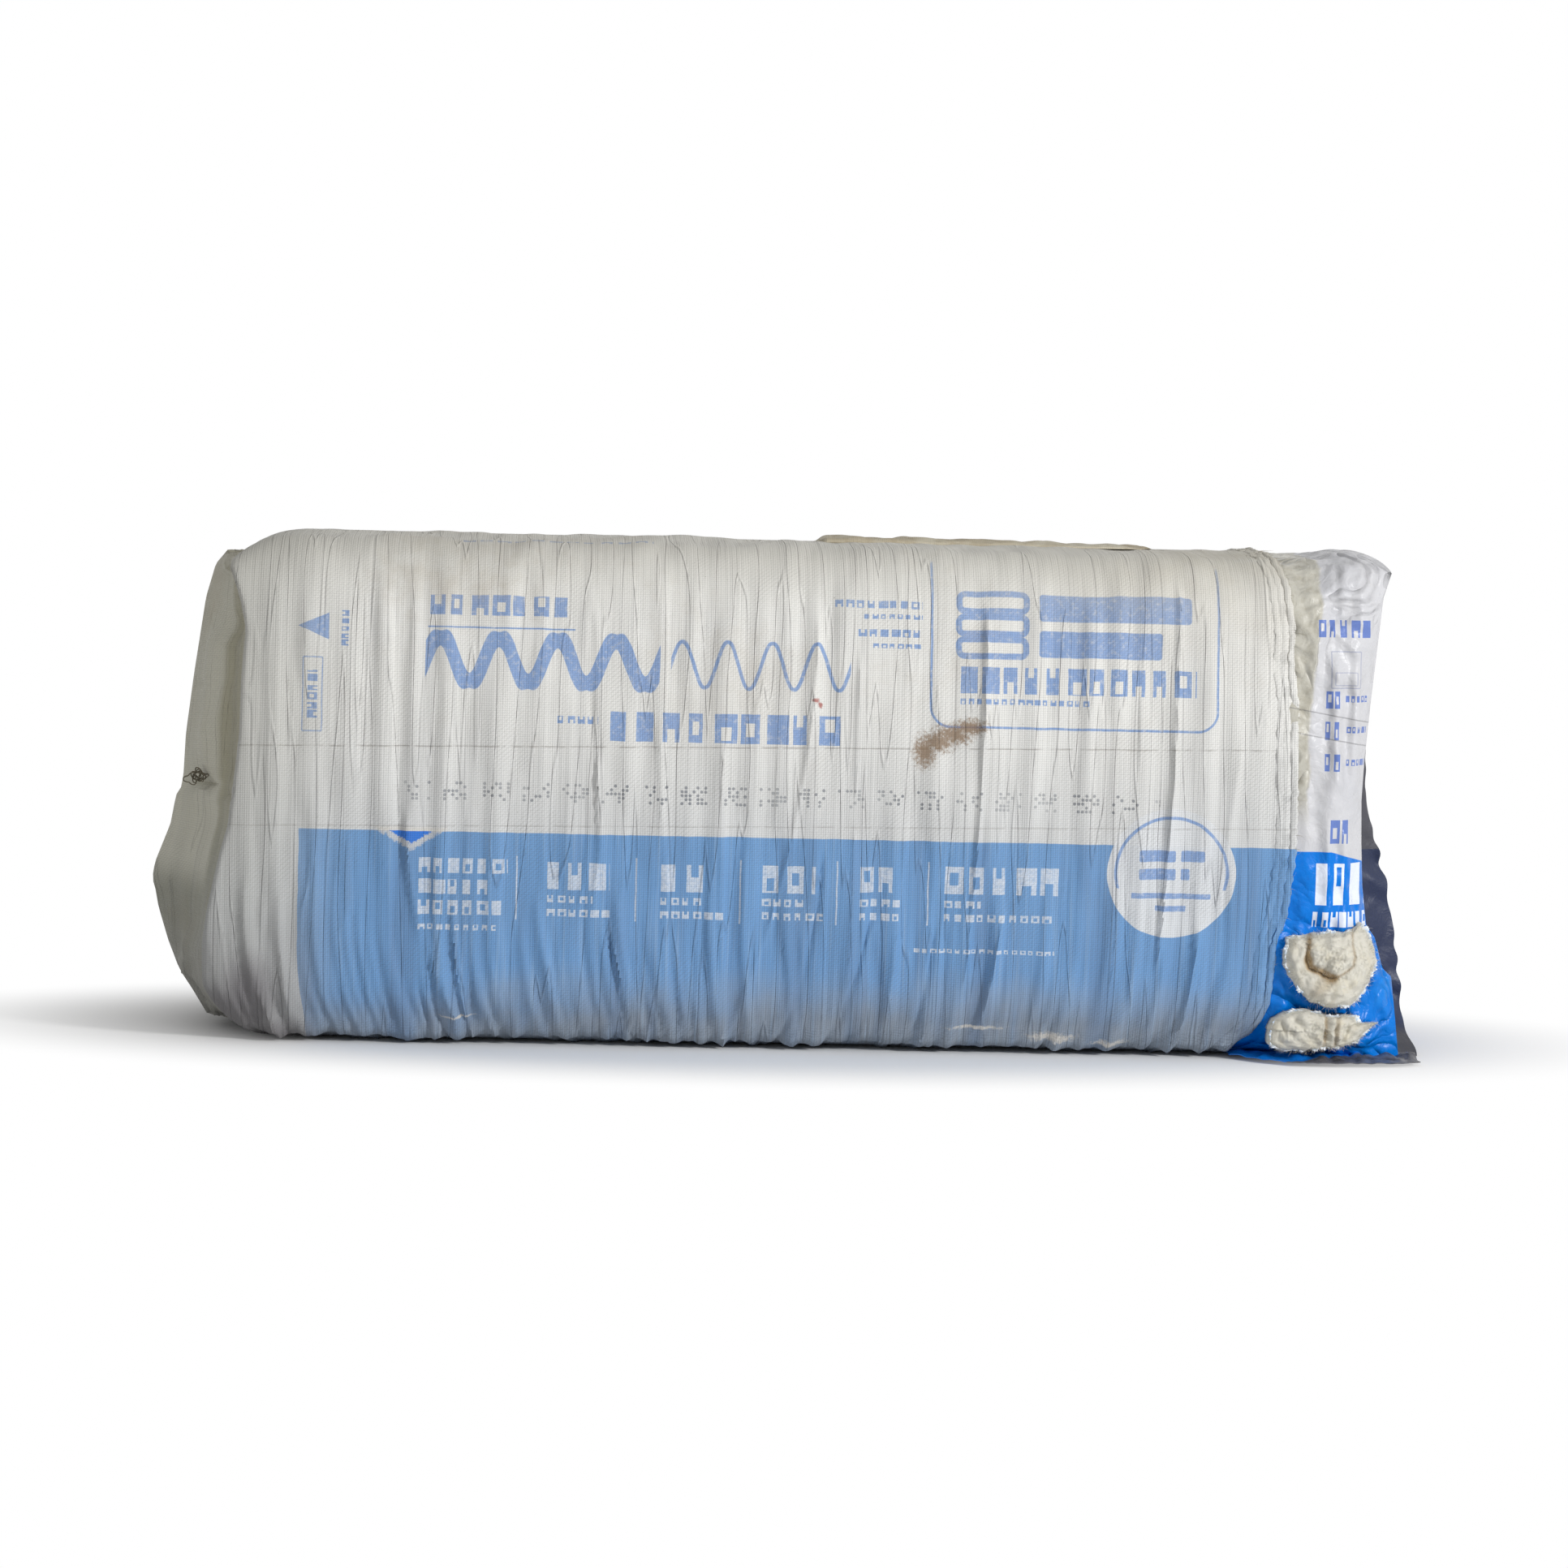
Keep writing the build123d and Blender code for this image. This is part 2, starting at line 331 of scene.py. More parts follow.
def grid_faces(index, wrap=True):
    """Quads between neighbouring rows and columns of a table of vertex numbers. Rows close round."""
    nxt = np.roll(index, -1, axis=1) if wrap else index[:, 1:]
    cur = index if wrap else index[:, :-1]
    quads = np.stack([cur[:-1], cur[1:], nxt[1:], nxt[:-1]], axis=-1)
    return quads.reshape(-1, 4)


def zip_ends(index):
    """Joins the front half of a closed row of vertices to its back half, as a fold does."""
    count = index.shape[1]
    mirror = (-np.arange(count)) % count
    joined = index.copy()
    for column in (0, -1):
        joined[column] = np.minimum(index[column], index[column][mirror])
    return joined


def clean_faces(quads):
    """The quads as lists of vertex numbers, with repeated corners dropped and slivers left out."""
    whole = (quads != np.roll(quads, 1, axis=1)).all(axis=1) & (quads[:, 0] != quads[:, 2])
    whole &= quads[:, 1] != quads[:, 3]
    faces = quads[whole].tolist()
    for quad in quads[~whole].tolist():
        corners = list(dict.fromkeys(quad))
        if len(corners) == 3:
            faces.append(corners)
    return faces


def make_piece(name, points, faces, material, uv=None, sharp=None, marks=None):
    """A piece at the origin from an array of points and a list of faces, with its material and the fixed
    body. It takes the cloth's own coordinates as its UV map where they are given, and is
    smooth but for edges over the sharp angle. Marks are numbers at the points for its material."""
    mesh = bpy.data.meshes.new(name)
    points = np.asarray(points, float).reshape(-1, 3)
    used = np.unique(np.concatenate([np.ravel(f) for f in faces]))
    place = np.full(len(points), -1)
    place[used] = np.arange(len(used))
    mesh.from_pydata(points[used].tolist(), [], [[int(place[i]) for i in f] for f in faces])
    mesh.polygons.foreach_set("use_smooth", np.ones(len(mesh.polygons), bool))
    if uv is not None:
        layer = mesh.uv_layers.new(name=CLOTH_UV)
        corner = np.zeros(len(mesh.loops), np.int32)
        mesh.loops.foreach_get("vertex_index", corner)
        layer.data.foreach_set("uv", np.asarray(uv, float).reshape(-1, 2)[used][corner].ravel())
    for label, values in (marks or {}).items():
        mark = mesh.attributes.new(label, "FLOAT", "POINT")
        mark.data.foreach_set("value", np.asarray(values, float).ravel()[used])
    if sharp is not None:
        mesh.set_sharp_from_angle(angle=np.radians(sharp))
    mesh.update()
    piece = bpy.data.objects.new(name, mesh)
    bpy.context.scene.collection.objects.link(piece)
    piece.data.materials.append(material)
    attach(piece, "root")
    return piece


def face_outward(piece):
    """Turns every face of a closed piece outwards."""
    mesh = bmesh.new()
    mesh.from_mesh(piece.data)
    bmesh.ops.recalc_face_normals(mesh, faces=mesh.faces)
    mesh.to_mesh(piece.data)
    mesh.free()


def tubes(centres, directions, radius, sides=5, taper=0.12):
    """Thin hairs: along each path of points, a ring of that radius, which narrows to a share of it at
    the tip."""
    count, steps = centres.shape[:2]
    axis = np.gradient(centres, axis=1)
    axis /= np.linalg.norm(axis, axis=-1, keepdims=True) + 1e-12
    first = np.cross(axis, directions[:, None, :])
    first /= np.linalg.norm(first, axis=-1, keepdims=True) + 1e-12
    second = np.cross(axis, first)
    angle = np.linspace(0, FULL_TURN, sides, endpoint=False)
    narrow = np.linspace(1, taper, steps)[None, :, None, None] * radius[:, None, None, None]
    ring = first[:, :, None, :] * np.cos(angle)[:, None] + second[:, :, None, :] * np.sin(angle)[:, None]
    points = centres[:, :, None, :] + narrow * ring
    index = np.arange(count * steps * sides).reshape(count, steps, sides)
    index[:, 0], index[:, -1] = index[:, 0, :1], index[:, -1, :1]
    nxt = np.roll(index, -1, axis=2)
    quads = np.stack([index[:, :-1], index[:, 1:], nxt[:, 1:], nxt[:, :-1]], axis=-1).reshape(-1, 4)
    return points.reshape(-1, 3), clean_faces(quads[:, ::-1])


# The woven bag


# X of the folded end's front edge at heights on the cloth, of its ridge at heights, and of the mouth
END_EDGE = np.array([
    (-0.25, -0.6), (-0.02, -0.602), (0.03, -0.622), (0.06, -0.633), (0.114, -0.6335), (0.141, -0.63),
    (0.17, -0.624), (0.209, -0.616), (0.24, -0.6075), (0.282, -0.603), (0.339, -0.597), (0.398, -0.5955),
    (0.452, -0.592), (0.485, -0.599), (0.53, -0.613), (0.57, -0.606), (0.62, -0.6), (0.9, -0.598),
])
END_RIDGE = np.array([
    (0.014, -0.64), (0.04, -0.656), (0.0627, -0.6713), (0.0964, -0.6846), (0.1338, -0.696),
    (0.1575, -0.7005), (0.1823, -0.697), (0.2257, -0.6803), (0.2817, -0.6704), (0.3283, -0.6684),
    (0.396, -0.6604), (0.4827, -0.6483), (0.52, -0.638), (0.536, -0.625),
])
MOUTH_EDGE = np.array([
    (-0.25, 0.4947), (-0.03, 0.498), (0.009, 0.503), (0.032, 0.5247), (0.0635, 0.5363), (0.137, 0.547),
    (0.189, 0.5558), (0.238, 0.56), (0.279, 0.5607), (0.368, 0.5595), (0.4836, 0.554), (0.554, 0.545),
    (0.62, 0.543), (0.9, 0.548),
])
RIDGE_Y = -0.06
END_ROUND = 0.062  # How far the body rounds off before the folded end
FRONT_TOP = 0.8  # The front ends at this height on the cloth, over the top
PRINT_SEAM = 0.31  # Bare cloth between the band's print and the upper print
END_COLUMNS, BODY_COLUMNS = 34, 494


def mouth_x(height):
    """X of the woven bag's open edge at a height on the cloth, read off its table."""
    return read_off(MOUTH_EDGE, height)


def end_drop(height, back):
    """How far the body draws in at the folded end: most at the foot, less at the top, little at the
    sides."""
    foot = 1 - smooth_step(height, -0.01, 0.1)
    top = smooth_step(height, 0.5, 0.6)
    return 0.005 + 0.017 * foot + 0.024 * top + 0.004 * back


def fan_in(x, height):
    """X with the pull of the foot's corners taken out: near the foot the creases lean towards the
    middle, by the square of the distance below their bend."""
    down = np.clip(0.15 - height, 0, 0.2)
    return x + 1.5 * np.tanh((x - 0.08) / 0.3) * down**2


def body_shift(girth, wear, x, s):
    """How far the cloth stands out from the smooth pack at an X and a length round it: broad soft
    folds from top to foot, crisp creases between them that are taller low down, broad dents, a
    crinkled rim along the foot of the front and a hollow under it."""
    height = girth.height(s)
    back = s > girth.half
    seed = np.where(back, 0.7, 0.0)
    lean = fan_in(x, height) + seed
    soft = 0.42 * folds(101, lean, height, 0.04, 1.3)
    strong = smooth_step(wave_noise(102, x + seed, height, 0.09, 0.3, 16), -0.1, 1.2)
    low = 0.3 + 1.1 * window(height, 0.0, 0.17, 0.1)
    crisp = ridges(folds(103, lean, height, 0.06, 0.9), 0.11) * strong * low
    fine = 0.22 * folds(104, lean, height, 0.016, 0.4) * window(height, -0.03, 0.18, 0.08)
    calm = window(height, -0.05, 0.46, 0.09)
    lift = (soft + 0.8 * crisp + fine) * calm
    lift = lift + creases(x, height, FRONT_CREASES) * np.where(back, 0, 1)
    dents = 0.0012 * wave_noise(3, x + seed, s, 0.17, 0.2) + 0.0006 * wave_noise(4, x + seed, s, 0.06, 0.12)
    lift = wear.crease_height * lift + dents * window(height, -0.1, 0.7, 0.05)
    wavy = 1 + 0.3 * np.sin(31 * x + 2.0 * np.sin(13 * x)) + 0.22 * folds(105, x + seed, height, 0.028, 0.08)
    rim = 0.0052 * window(height, 0.004, 0.014, 0.01) * wavy
    hollow = 0.0028 * window(height, -0.04, -0.014, 0.012)
    return np.maximum(np.maximum(lift, -0.002) + rim - hollow, -0.0028)


FRONT_CREASES = [
    (-0.578, 0.08, 0.6, 0.17, 0.235, 0.0035, -1.0), (-0.589, 0.02, 1.4, 0.02, 0.16, 0.005, 2.2),
    (-0.566, 0.05, 1.6, 0.02, 0.12, 0.0042, -1.6), (-0.55, 0.0, 0.8, 0.03, 0.15, 0.0036, 1.3),
    (-0.61, 0.02, 0.5, 0.08, 0.16, 0.004, -1.2), (-0.434, 0.0, 0.2, 0.14, 0.45, 0.003, 0.9),
    (-0.426, 0.0, 0.4, 0.02, 0.33, 0.0026, -1.3), (-0.414, 0.01, 1.3, 0.0, 0.24, 0.0034, 1.6),
    (-0.396, 0.05, 1.0, 0.01, 0.15, 0.003, -1.3), (-0.362, 0.06, 0.9, 0.01, 0.14, 0.0034, 1.5),
    (-0.348, 0.03, 0.4, 0.04, 0.17, 0.003, -1.4), (-0.27, 0.12, 0.9, 0.06, 0.15, 0.0034, 1.2),
    (-0.218, 0.01, 0.2, 0.02, 0.46, 0.0032, -1.3), (-0.208, 0.02, 0.5, 0.01, 0.3, 0.0026, 1.7),
    (-0.196, 0.06, 1.0, 0.005, 0.17, 0.003, -1.6), (-0.183, 0.12, 0.9, 0.01, 0.15, 0.003, 1.3),
    (-0.17, 0.05, 0.7, 0.02, 0.23, 0.0028, -1.1), (-0.14, 0.02, 0.3, 0.04, 0.34, 0.0026, 0.8),
    (-0.105, 0.01, 0.2, 0.01, 0.2, 0.003, -1.1), (-0.072, 0.0, 0.1, 0.02, 0.33, 0.0026, 0.9),
    (-0.008, 0.0, -0.2, 0.005, 0.22, 0.003, -1.1), (0.03, -0.02, -0.4, 0.01, 0.46, 0.0028, 1.0),
    (0.038, -0.05, -0.8, 0.01, 0.2, 0.0028, -1.2), (0.076, -0.01, 0.0, 0.08, 0.42, 0.0028, 1.2),
    (0.101, -0.1, -0.8, 0.01, 0.2, 0.0034, -1.5), (0.13, -0.02, -0.3, 0.06, 0.24, 0.0028, 0.9),
    (0.168, -0.08, -0.4, 0.02, 0.17, 0.0032, -1.2), (0.215, 0.0, -0.1, 0.09, 0.47, 0.003, 1.8),
    (0.222, -0.03, -0.6, 0.03, 0.15, 0.003, -2.0), (0.238, -0.12, -0.7, 0.05, 0.14, 0.003, 1.7),
    (0.374, -0.02, 0.9, 0.01, 0.15, 0.004, -1.2), (0.427, 0.0, -0.1, 0.12, 0.5, 0.0032, 1.9),
    (0.436, -0.06, -0.8, 0.02, 0.15, 0.004, -2.1), (0.456, -0.1, -0.6, 0.02, 0.13, 0.0034, 1.7),
    (0.478, -0.2, -0.3, 0.03, 0.1, 0.0032, -1.4), (0.495, -0.12, 0.0, 0.18, 0.33, 0.004, 0.7),
]


def body_points(girth, wear, x, s, out):
    """The cloth's body: the outline at s pushed outward by out and, where wear is given, by the
    creases, and drawn in towards the folded end along a quarter round."""
    y, z, out_y, out_z = girth.at(s)
    height = girth.height(s)
    edge = read_off(END_EDGE, height)
    back = (s > girth.half).astype(float)
    near = np.clip((edge + END_ROUND - x) / END_ROUND, 0, 1)
    drop = end_drop(height, back) * (1 - np.sqrt(1 - (0.995 * near) ** 2))
    crease = body_shift(girth, wear, x, s) if wear else 0.0
    push = out + crease * (1 - 0.7 * near) - drop
    return join(x, y + out_y * push, z + out_z * push)


def ridge_points(girth, s, inset):
    """The fold's ridge: Z runs up it as the outline's Z runs up the end, and X follows its table."""
    _, z, _, _ = girth.at(s)
    low, high = END_RIDGE[0, 0], END_RIDGE[-1, 0]
    z = low + (high - low) * (z - z.min()) / (z.max() - z.min())
    x = read_off(END_RIDGE, z) + inset
    return np.stack([x, np.full_like(x, RIDGE_Y), z], axis=-1)


def end_panels(girth, wear, t, s, out, inset):
    """The folded end: straight lines from the ridge at t = 0 to the body's edge at t = 1. The front
    panel is folded along its middle, drawn in by a crease across it, pocketed under the ear at its
    top and creased with flat facets."""
    height = girth.height(s)
    edge_x = read_off(END_EDGE, height)
    edge = body_points(girth, wear, edge_x, s, out)
    ridge = ridge_points(girth, s, inset)
    points = ridge[None] * (1 - t) + edge[None] * t
    normal = np.cross(edge - ridge, np.gradient(edge, axis=0))
    normal /= np.linalg.norm(normal, axis=-1, keepdims=True) + 1e-9
    front = (s <= girth.half).astype(float)
    t = t[:, :, 0]
    middle = 0.5 - 0.9 * (height - 0.38)
    fold = -0.01 * np.clip(1 - np.abs(t - middle - 0.22) / 0.26, 0, 1) * window(height, 0.3, 0.45, 0.03)
    fold += 0.005 * np.clip(1 - np.abs(t - middle + 0.15) / 0.16, 0, 1) * window(height, 0.31, 0.46, 0.03)
    pocket = -0.014 * np.sin(np.pi * t**1.3) * window(height, 0.465, 0.52, 0.025)
    crease = -0.009 * np.exp(-(((height - 0.286 + 0.013 * t) / 0.0045) ** 2)) * np.clip(t * 6, 0, 1)
    pull = -0.006 * np.sin(np.pi * t) * np.exp(-((height - 0.283) / 0.03) ** 2)
    nick = -0.003 * np.exp(-(((height - 0.396) / 0.003) ** 2)) * window(t, 0.1, 0.35, 0.08)
    lower = -0.012 * np.sin(np.pi * t) * window(height, 0.13, 0.24, 0.04)
    strip = 0.004 * (1 - smooth_step(t, 0.16, 0.22)) * window(height, 0.165, 0.262, 0.012)
    back = -0.012 * np.sin(np.pi * t) * (1 - front) * window(height, 0.1, 0.5, 0.06)
    shift = (fold + pocket + crease + pull + nick + lower + strip) * front + back
    flat = 0.0016 * facets(21, t * 0.16 + 0.3 * (1 - front), height + 0 * t, 0.075) * np.sin(np.pi * t)
    foot = 0.003 * facets(22, t * 0.16, height + 0 * t, 0.04) * np.sin(np.pi * t)
    foot = foot * (1 - smooth_step(height, 0.06, 0.16))
    return points + normal[None] * (shift + flat + foot)[..., None]


def soften(points, column, reach, rounds):
    """Rounds a fold off: each round sets the columns near it to a quarter of each neighbour plus half
    of themselves."""
    low, high = column - reach, column + reach + 1
    for _ in range(rounds):
        before, after = points[low - 1 : high - 1], points[low + 1 : high + 1]
        points[low:high] = 0.25 * before + 0.5 * points[low:high] + 0.25 * after
    return points


def woven_skin(girth, wear, out, inset, ends, columns):
    """One skin of the woven bag, from the ridge of its fold to its mouth, with the cloth's own X and
    height at each point and how much it belongs to the folded end."""
    s = girth.rows(7, 10, 47, 11)
    height = girth.height(s)
    t = np.linspace(0, 1, ends, endpoint=False)[:, None, None] + 0 * s[None, :, None]
    end = end_panels(girth, wear, t, s, out, inset)
    edge_x = read_off(END_EDGE, height)
    run = np.linspace(0, 1, columns)[:, None]
    x = edge_x + (mouth_x(height) - edge_x) * run
    body = body_points(girth, wear, x, np.broadcast_to(s, x.shape), out)
    points = np.concatenate([end, body])
    ridge_length = np.linalg.norm(end[0] - body[0], axis=-1)
    u = np.concatenate([edge_x - ridge_length * (1 - t[:, :, 0]), x])
    v = np.broadcast_to(s + girth.level, u.shape)
    panel = np.concatenate([np.ones(t.shape[:2]), np.zeros(x.shape)])
    return points, np.stack([u, v], axis=-1), panel


class PACK_OT_woven_bag(bpy.types.Operator):
    """Sews the outer bag of woven tape, creased over the batts and folded shut at one end"""

    bl_idname = "pack.woven_bag"
    bl_label = "Woven bag"

    def execute(self, context):
        sizes, wear = context.scene.pack_sizes, context.scene.pack_wear
        girth = Girth(sizes)
        shape = END_COLUMNS, BODY_COLUMNS
        outer, outer_uv, outer_panel = woven_skin(girth, wear, sizes.cloth_out, 0.0, *shape)
        soften(outer, END_COLUMNS, 3, 2)
        inner, inner_uv, inner_panel = woven_skin(girth, None, sizes.cloth_in - 0.0016, 0.008, 6, 22)
        points = np.concatenate([outer, inner[::-1]])
        points[..., 2] = np.maximum(points[..., 2], 0.0)
        uv = np.concatenate([outer_uv, inner_uv[::-1]])
        panel = np.concatenate([outer_panel, inner_panel[::-1]])
        index = zip_ends(number_grid(points))
        faces = clean_faces(grid_faces(index))
        names = ("plain bag cloth", "band printed cloth", "upper printed cloth")
        plain, band, upper = (printed_cloth(context.scene.pack_colours, name) for name in names)
        marks = {"folded_end": panel}
        bag = make_piece("woven_bag_cloth", points, faces, plain, uv, 48, marks)
        bag.data.materials.append(band)
        bag.data.materials.append(upper)
        first = np.array([face[0] for face in faces])
        height = uv.reshape(-1, 2)[first, 1]
        outer_face = first < outer.shape[0] * outer.shape[1]
        front = outer_face & (panel.ravel()[first] < 0.5) & (height < FRONT_TOP)
        above = height > PRINT_SEAM
        bag.data.polygons.foreach_set("material_index", np.where(front, 1 + above, 0).astype(np.int32))
        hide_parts("woven_bag")
        return {"FINISHED"}


class PACK_OT_end_knot(bpy.types.Operator):
    """Ties the stray threads that are knotted at the crease of the folded end"""

    bl_idname = "pack.end_knot"
    bl_label = "End knot"

    def execute(self, context):
        turn = np.linspace(0, FULL_TURN, 60)
        rng = np.random.default_rng(91)
        paths = []
        for _ in range(7):
            wide, tall, slant = rng.uniform(0.005, 0.01), rng.uniform(0.0025, 0.006), rng.uniform(-0.6, 0.6)
            at = rng.normal(0, 0.0035, 3)
            wave = 1 + 0.25 * np.sin(3 * turn + rng.uniform(0, 6))
            across, up = wide * np.cos(turn) * wave, tall * np.sin(turn) * wave
            x = -0.65 + at[0] + (across * np.cos(slant) - up * np.sin(slant)) * 0.75
            y = -0.13 - (across * np.cos(slant)) * 0.8 + 0.002 * np.sin(2 * turn) + at[1] * 0.3
            z = 0.285 + at[2] * 0.5 + across * np.sin(slant) + up * np.cos(slant)
            paths.append(join(x, y, z))
        paths = np.array(paths)
        quiet = np.tile([0.2, 0.3, 1.0], (len(paths), 1))
        points, quads = tubes(paths, quiet, np.full(len(paths), 0.0008), 6, taper=0.7)
        make_piece("end_knot_threads", points, quads, thread_finish())
        return {"FINISHED"}


class PACK_OT_hem(bpy.types.Operator):
    """Turns the doubled hem along the woven bag's mouth"""

    bl_idname = "pack.hem"
    bl_label = "Hem"

    def execute(self, context):
        sizes, wear = context.scene.pack_sizes, context.scene.pack_wear
        girth = Girth(sizes)
        s = girth.rows(16, 16, 170, 30)
        height = girth.height(s)
        wander = 0.001 * wave_noise(31, s, 0 * s, 0.09, 1.0) + 0.0005 * wave_noise(32, s, 0 * s, 0.012, 1.0)
        edge = mouth_x(height) + wander
        profile = np.array([
            (-1.0, -0.001), (-0.97, 0.0002), (-0.9, 0.0008), (-0.7, 0.0008), (-0.66, 0.0003),
            (-0.62, 0.0009), (-0.36, 0.001), (-0.32, -0.0002), (-0.28, 0.0011), (-0.1, 0.0013),
            (-0.02, 0.0008), (0.02, -0.0004), (-0.03, -0.0016), (-0.2, -0.0018), (-0.9, -0.0016),
        ])
        x = edge + profile[:, :1] * sizes.hem_width
        lift = profile[:, 1:] + 0.0005 * wave_noise(33, x, s + 0 * x, 0.03, 0.03)
        lift = np.where(profile[:, 1:] > 0, lift, profile[:, 1:])
        rows = np.broadcast_to(s, x.shape)
        points = body_points(girth, wear, x, rows, sizes.cloth_out + lift)
        points[..., 2] = np.maximum(points[..., 2], 0.0002)
        index = number_grid(points)
        index = np.concatenate([index, index[:1]])
        uv = np.stack([x, np.broadcast_to(s + girth.level, x.shape)], axis=-1)
        faces = clean_faces(grid_faces(index))
        cloth = bpy.data.materials["band printed cloth"]
        make_piece("woven_bag_hem", points, faces, cloth, uv, 60, {"folded_end": 0 * x})
        self.threads(girth, sizes, wear)
        return {"FINISHED"}

    def threads(self, girth, sizes, wear):
        """Short frayed ends of tape along the mouth: each starts at the edge, runs out past it and
        droops and bends by a random amount."""
        rng = np.random.default_rng(35)
        count = 150
        s = rng.uniform(0.3, girth.half * 2 - 0.3, count)
        edge = mouth_x(girth.height(s))
        run = np.linspace(0, 1, 6)
        reach = rng.exponential(0.0035, count) + 0.0015
        drop = rng.normal(0, 0.5, count)
        x = edge[:, None] - 0.001 + reach[:, None] * run
        along = s[:, None] + (drop * reach)[:, None] * run**2
        lift = sizes.cloth_out + rng.uniform(-0.0005, 0.0012, count)[:, None] + 0.0006 * run
        points = body_points(girth, wear, x, along, lift)
        quiet = np.tile([0.0, 0.1, 1.0], (count, 1))
        mesh_points, quads = tubes(points, quiet, rng.uniform(0.00018, 0.0004, count), 3)
        cloth = plain_cloth(bpy.context.scene.pack_colours)
        make_piece("woven_bag_mouth_threads", mesh_points, quads, cloth)


class PACK_OT_top_lap(bpy.types.Operator):
    """Lays the spare strip of cloth along the top of the pack"""

    bl_idname = "pack.top_lap"
    bl_label = "Top lap"

    def execute(self, context):
        sizes = context.scene.pack_sizes
        girth = Girth(sizes)
        along = np.linspace(0, 1, 170)[:, None]
        turn = np.linspace(0, FULL_TURN, 40, endpoint=False)[None, :]
        across = np.sign(np.cos(turn)) * np.abs(np.cos(turn)) ** 0.6
        rise = np.sign(np.sin(turn)) * np.abs(np.sin(turn)) ** 0.7
        x = 0.035 + 0.385 * along + 0.003 * rise
        close = np.sin(np.pi * np.clip(along * 14, 0, 0.5)) * np.sin(np.pi * np.clip((1 - along) * 14, 0, 0.5))
        y = across * (0.03 + 0.003 * np.sin(23 * x)) * close - 0.004
        swell = 0.0058 + 0.001 * wave_noise(41, x, y, 0.05, 0.03) * (rise > 0)
        swell = swell - 0.003 * smooth_step(along, 0.45, 1.0)
        _, top, _, _ = girth.at(np.array([girth.half]))
        crown = y**2 / 4.0
        z = top[0] + sizes.cloth_out - crown + np.maximum(rise, -0.15) * swell * close
        points = join(x, y, z)
        index = number_grid(points)
        faces = clean_faces(grid_faces(index))
        faces += [index[0].tolist(), index[-1][::-1].tolist()]
        uv = join(x, y)
        cloth = plain_cloth(context.scene.pack_colours)
        make_piece("woven_bag_top_lap", points, faces, cloth, uv, 60)
        return {"FINISHED"}


# The film bag


FOLD_EDGE = np.array([
    (0.004, 0.69), (0.0469, 0.685), (0.0944, 0.679), (0.1033, 0.669), (0.1379, 0.659), (0.1514, 0.649),
    (0.1951, 0.6434), (0.2415, 0.6409), (0.2898, 0.6394), (0.338, 0.6415), (0.4045, 0.6467),
    (0.5144, 0.6568), (0.5418, 0.665),
])
FOLD_Y = -0.198
FILM_START = 0.59
FILM_FRONT = -0.254  # The furthest that the film's crumples may stand forward
UPPER_TEAR = [
    (0.5561, 0.1384), (0.5714, 0.1414), (0.5911, 0.1444), (0.6109, 0.1448), (0.6279, 0.1479), (0.6367, 0.1543),
    (0.6459, 0.1438), (0.6535, 0.1269), (0.6567, 0.1117), (0.6517, 0.0981), (0.6434, 0.0826), (0.634, 0.07),
    (0.6182, 0.066), (0.6002, 0.0666), (0.5828, 0.072), (0.57, 0.084), (0.56, 0.1007), (0.5525, 0.1096),
    (0.5547, 0.1267),
]
LOWER_TEAR = [
    (0.5395, 0.0374), (0.5436, 0.048), (0.5568, 0.056), (0.5737, 0.06), (0.5874, 0.057), (0.6049, 0.053),
    (0.6183, 0.054), (0.6337, 0.0518), (0.6357, 0.0455), (0.661, 0.043), (0.6488, 0.0352), (0.6383, 0.0262),
    (0.6213, 0.0214), (0.6015, 0.0192), (0.5782, 0.0153), (0.5493, 0.0165), (0.5381, 0.0241),
]


def ragged(outline, seed, step, depth):
    """A closed outline cut into short steps, each point moved by a random walk's smoothed jog."""
    rng = np.random.default_rng(seed)
    points = np.array([*outline, outline[0]])
    run = np.concatenate([[0], np.cumsum(np.hypot(*np.diff(points, axis=0).T))])
    at = np.arange(0, run[-1], step)
    x, z = np.interp(at, run, points[:, 0]), np.interp(at, run, points[:, 1])
    return join(x, z) + depth * eased(rng.normal(0, 1, (2, len(at)))).T


def inside(outline, x, z):
    """True where a line drawn from the point towards +X crosses the closed outline an odd number of
    times."""
    ax, az = outline[:, 0][:, None], outline[:, 1][:, None]
    bx, bz = np.roll(outline[:, 0], -1)[:, None], np.roll(outline[:, 1], -1)[:, None]
    px, pz = np.ravel(x)[None, :], np.ravel(z)[None, :]
    spans = (az > pz) != (bz > pz)
    cross = px < (bx - ax) * (pz - az) / np.where(bz == az, 1e-9, bz - az) + ax
    return ((spans & cross).sum(axis=0) % 2 == 1).reshape(np.shape(x))


def nearest_on(outline, x, z, closed=True):
    """The nearest point of an outline's straight pieces to each point, and how far off it is."""
    start = outline if closed else outline[:-1]
    end = np.roll(outline, -1, axis=0) if closed else outline[1:]
    run = end - start
    at = np.stack([np.ravel(x), np.ravel(z)], axis=-1)
    share = np.clip(((at[:, None] - start) * run).sum(axis=-1) / ((run * run).sum(axis=-1) + 1e-12), 0, 1)
    spots = start + share[..., None] * run
    gaps = np.linalg.norm(at[:, None] - spots, axis=-1)
    best = gaps.argmin(axis=1)
    rows = np.arange(len(at))
    return spots[rows, best], gaps[rows, best]


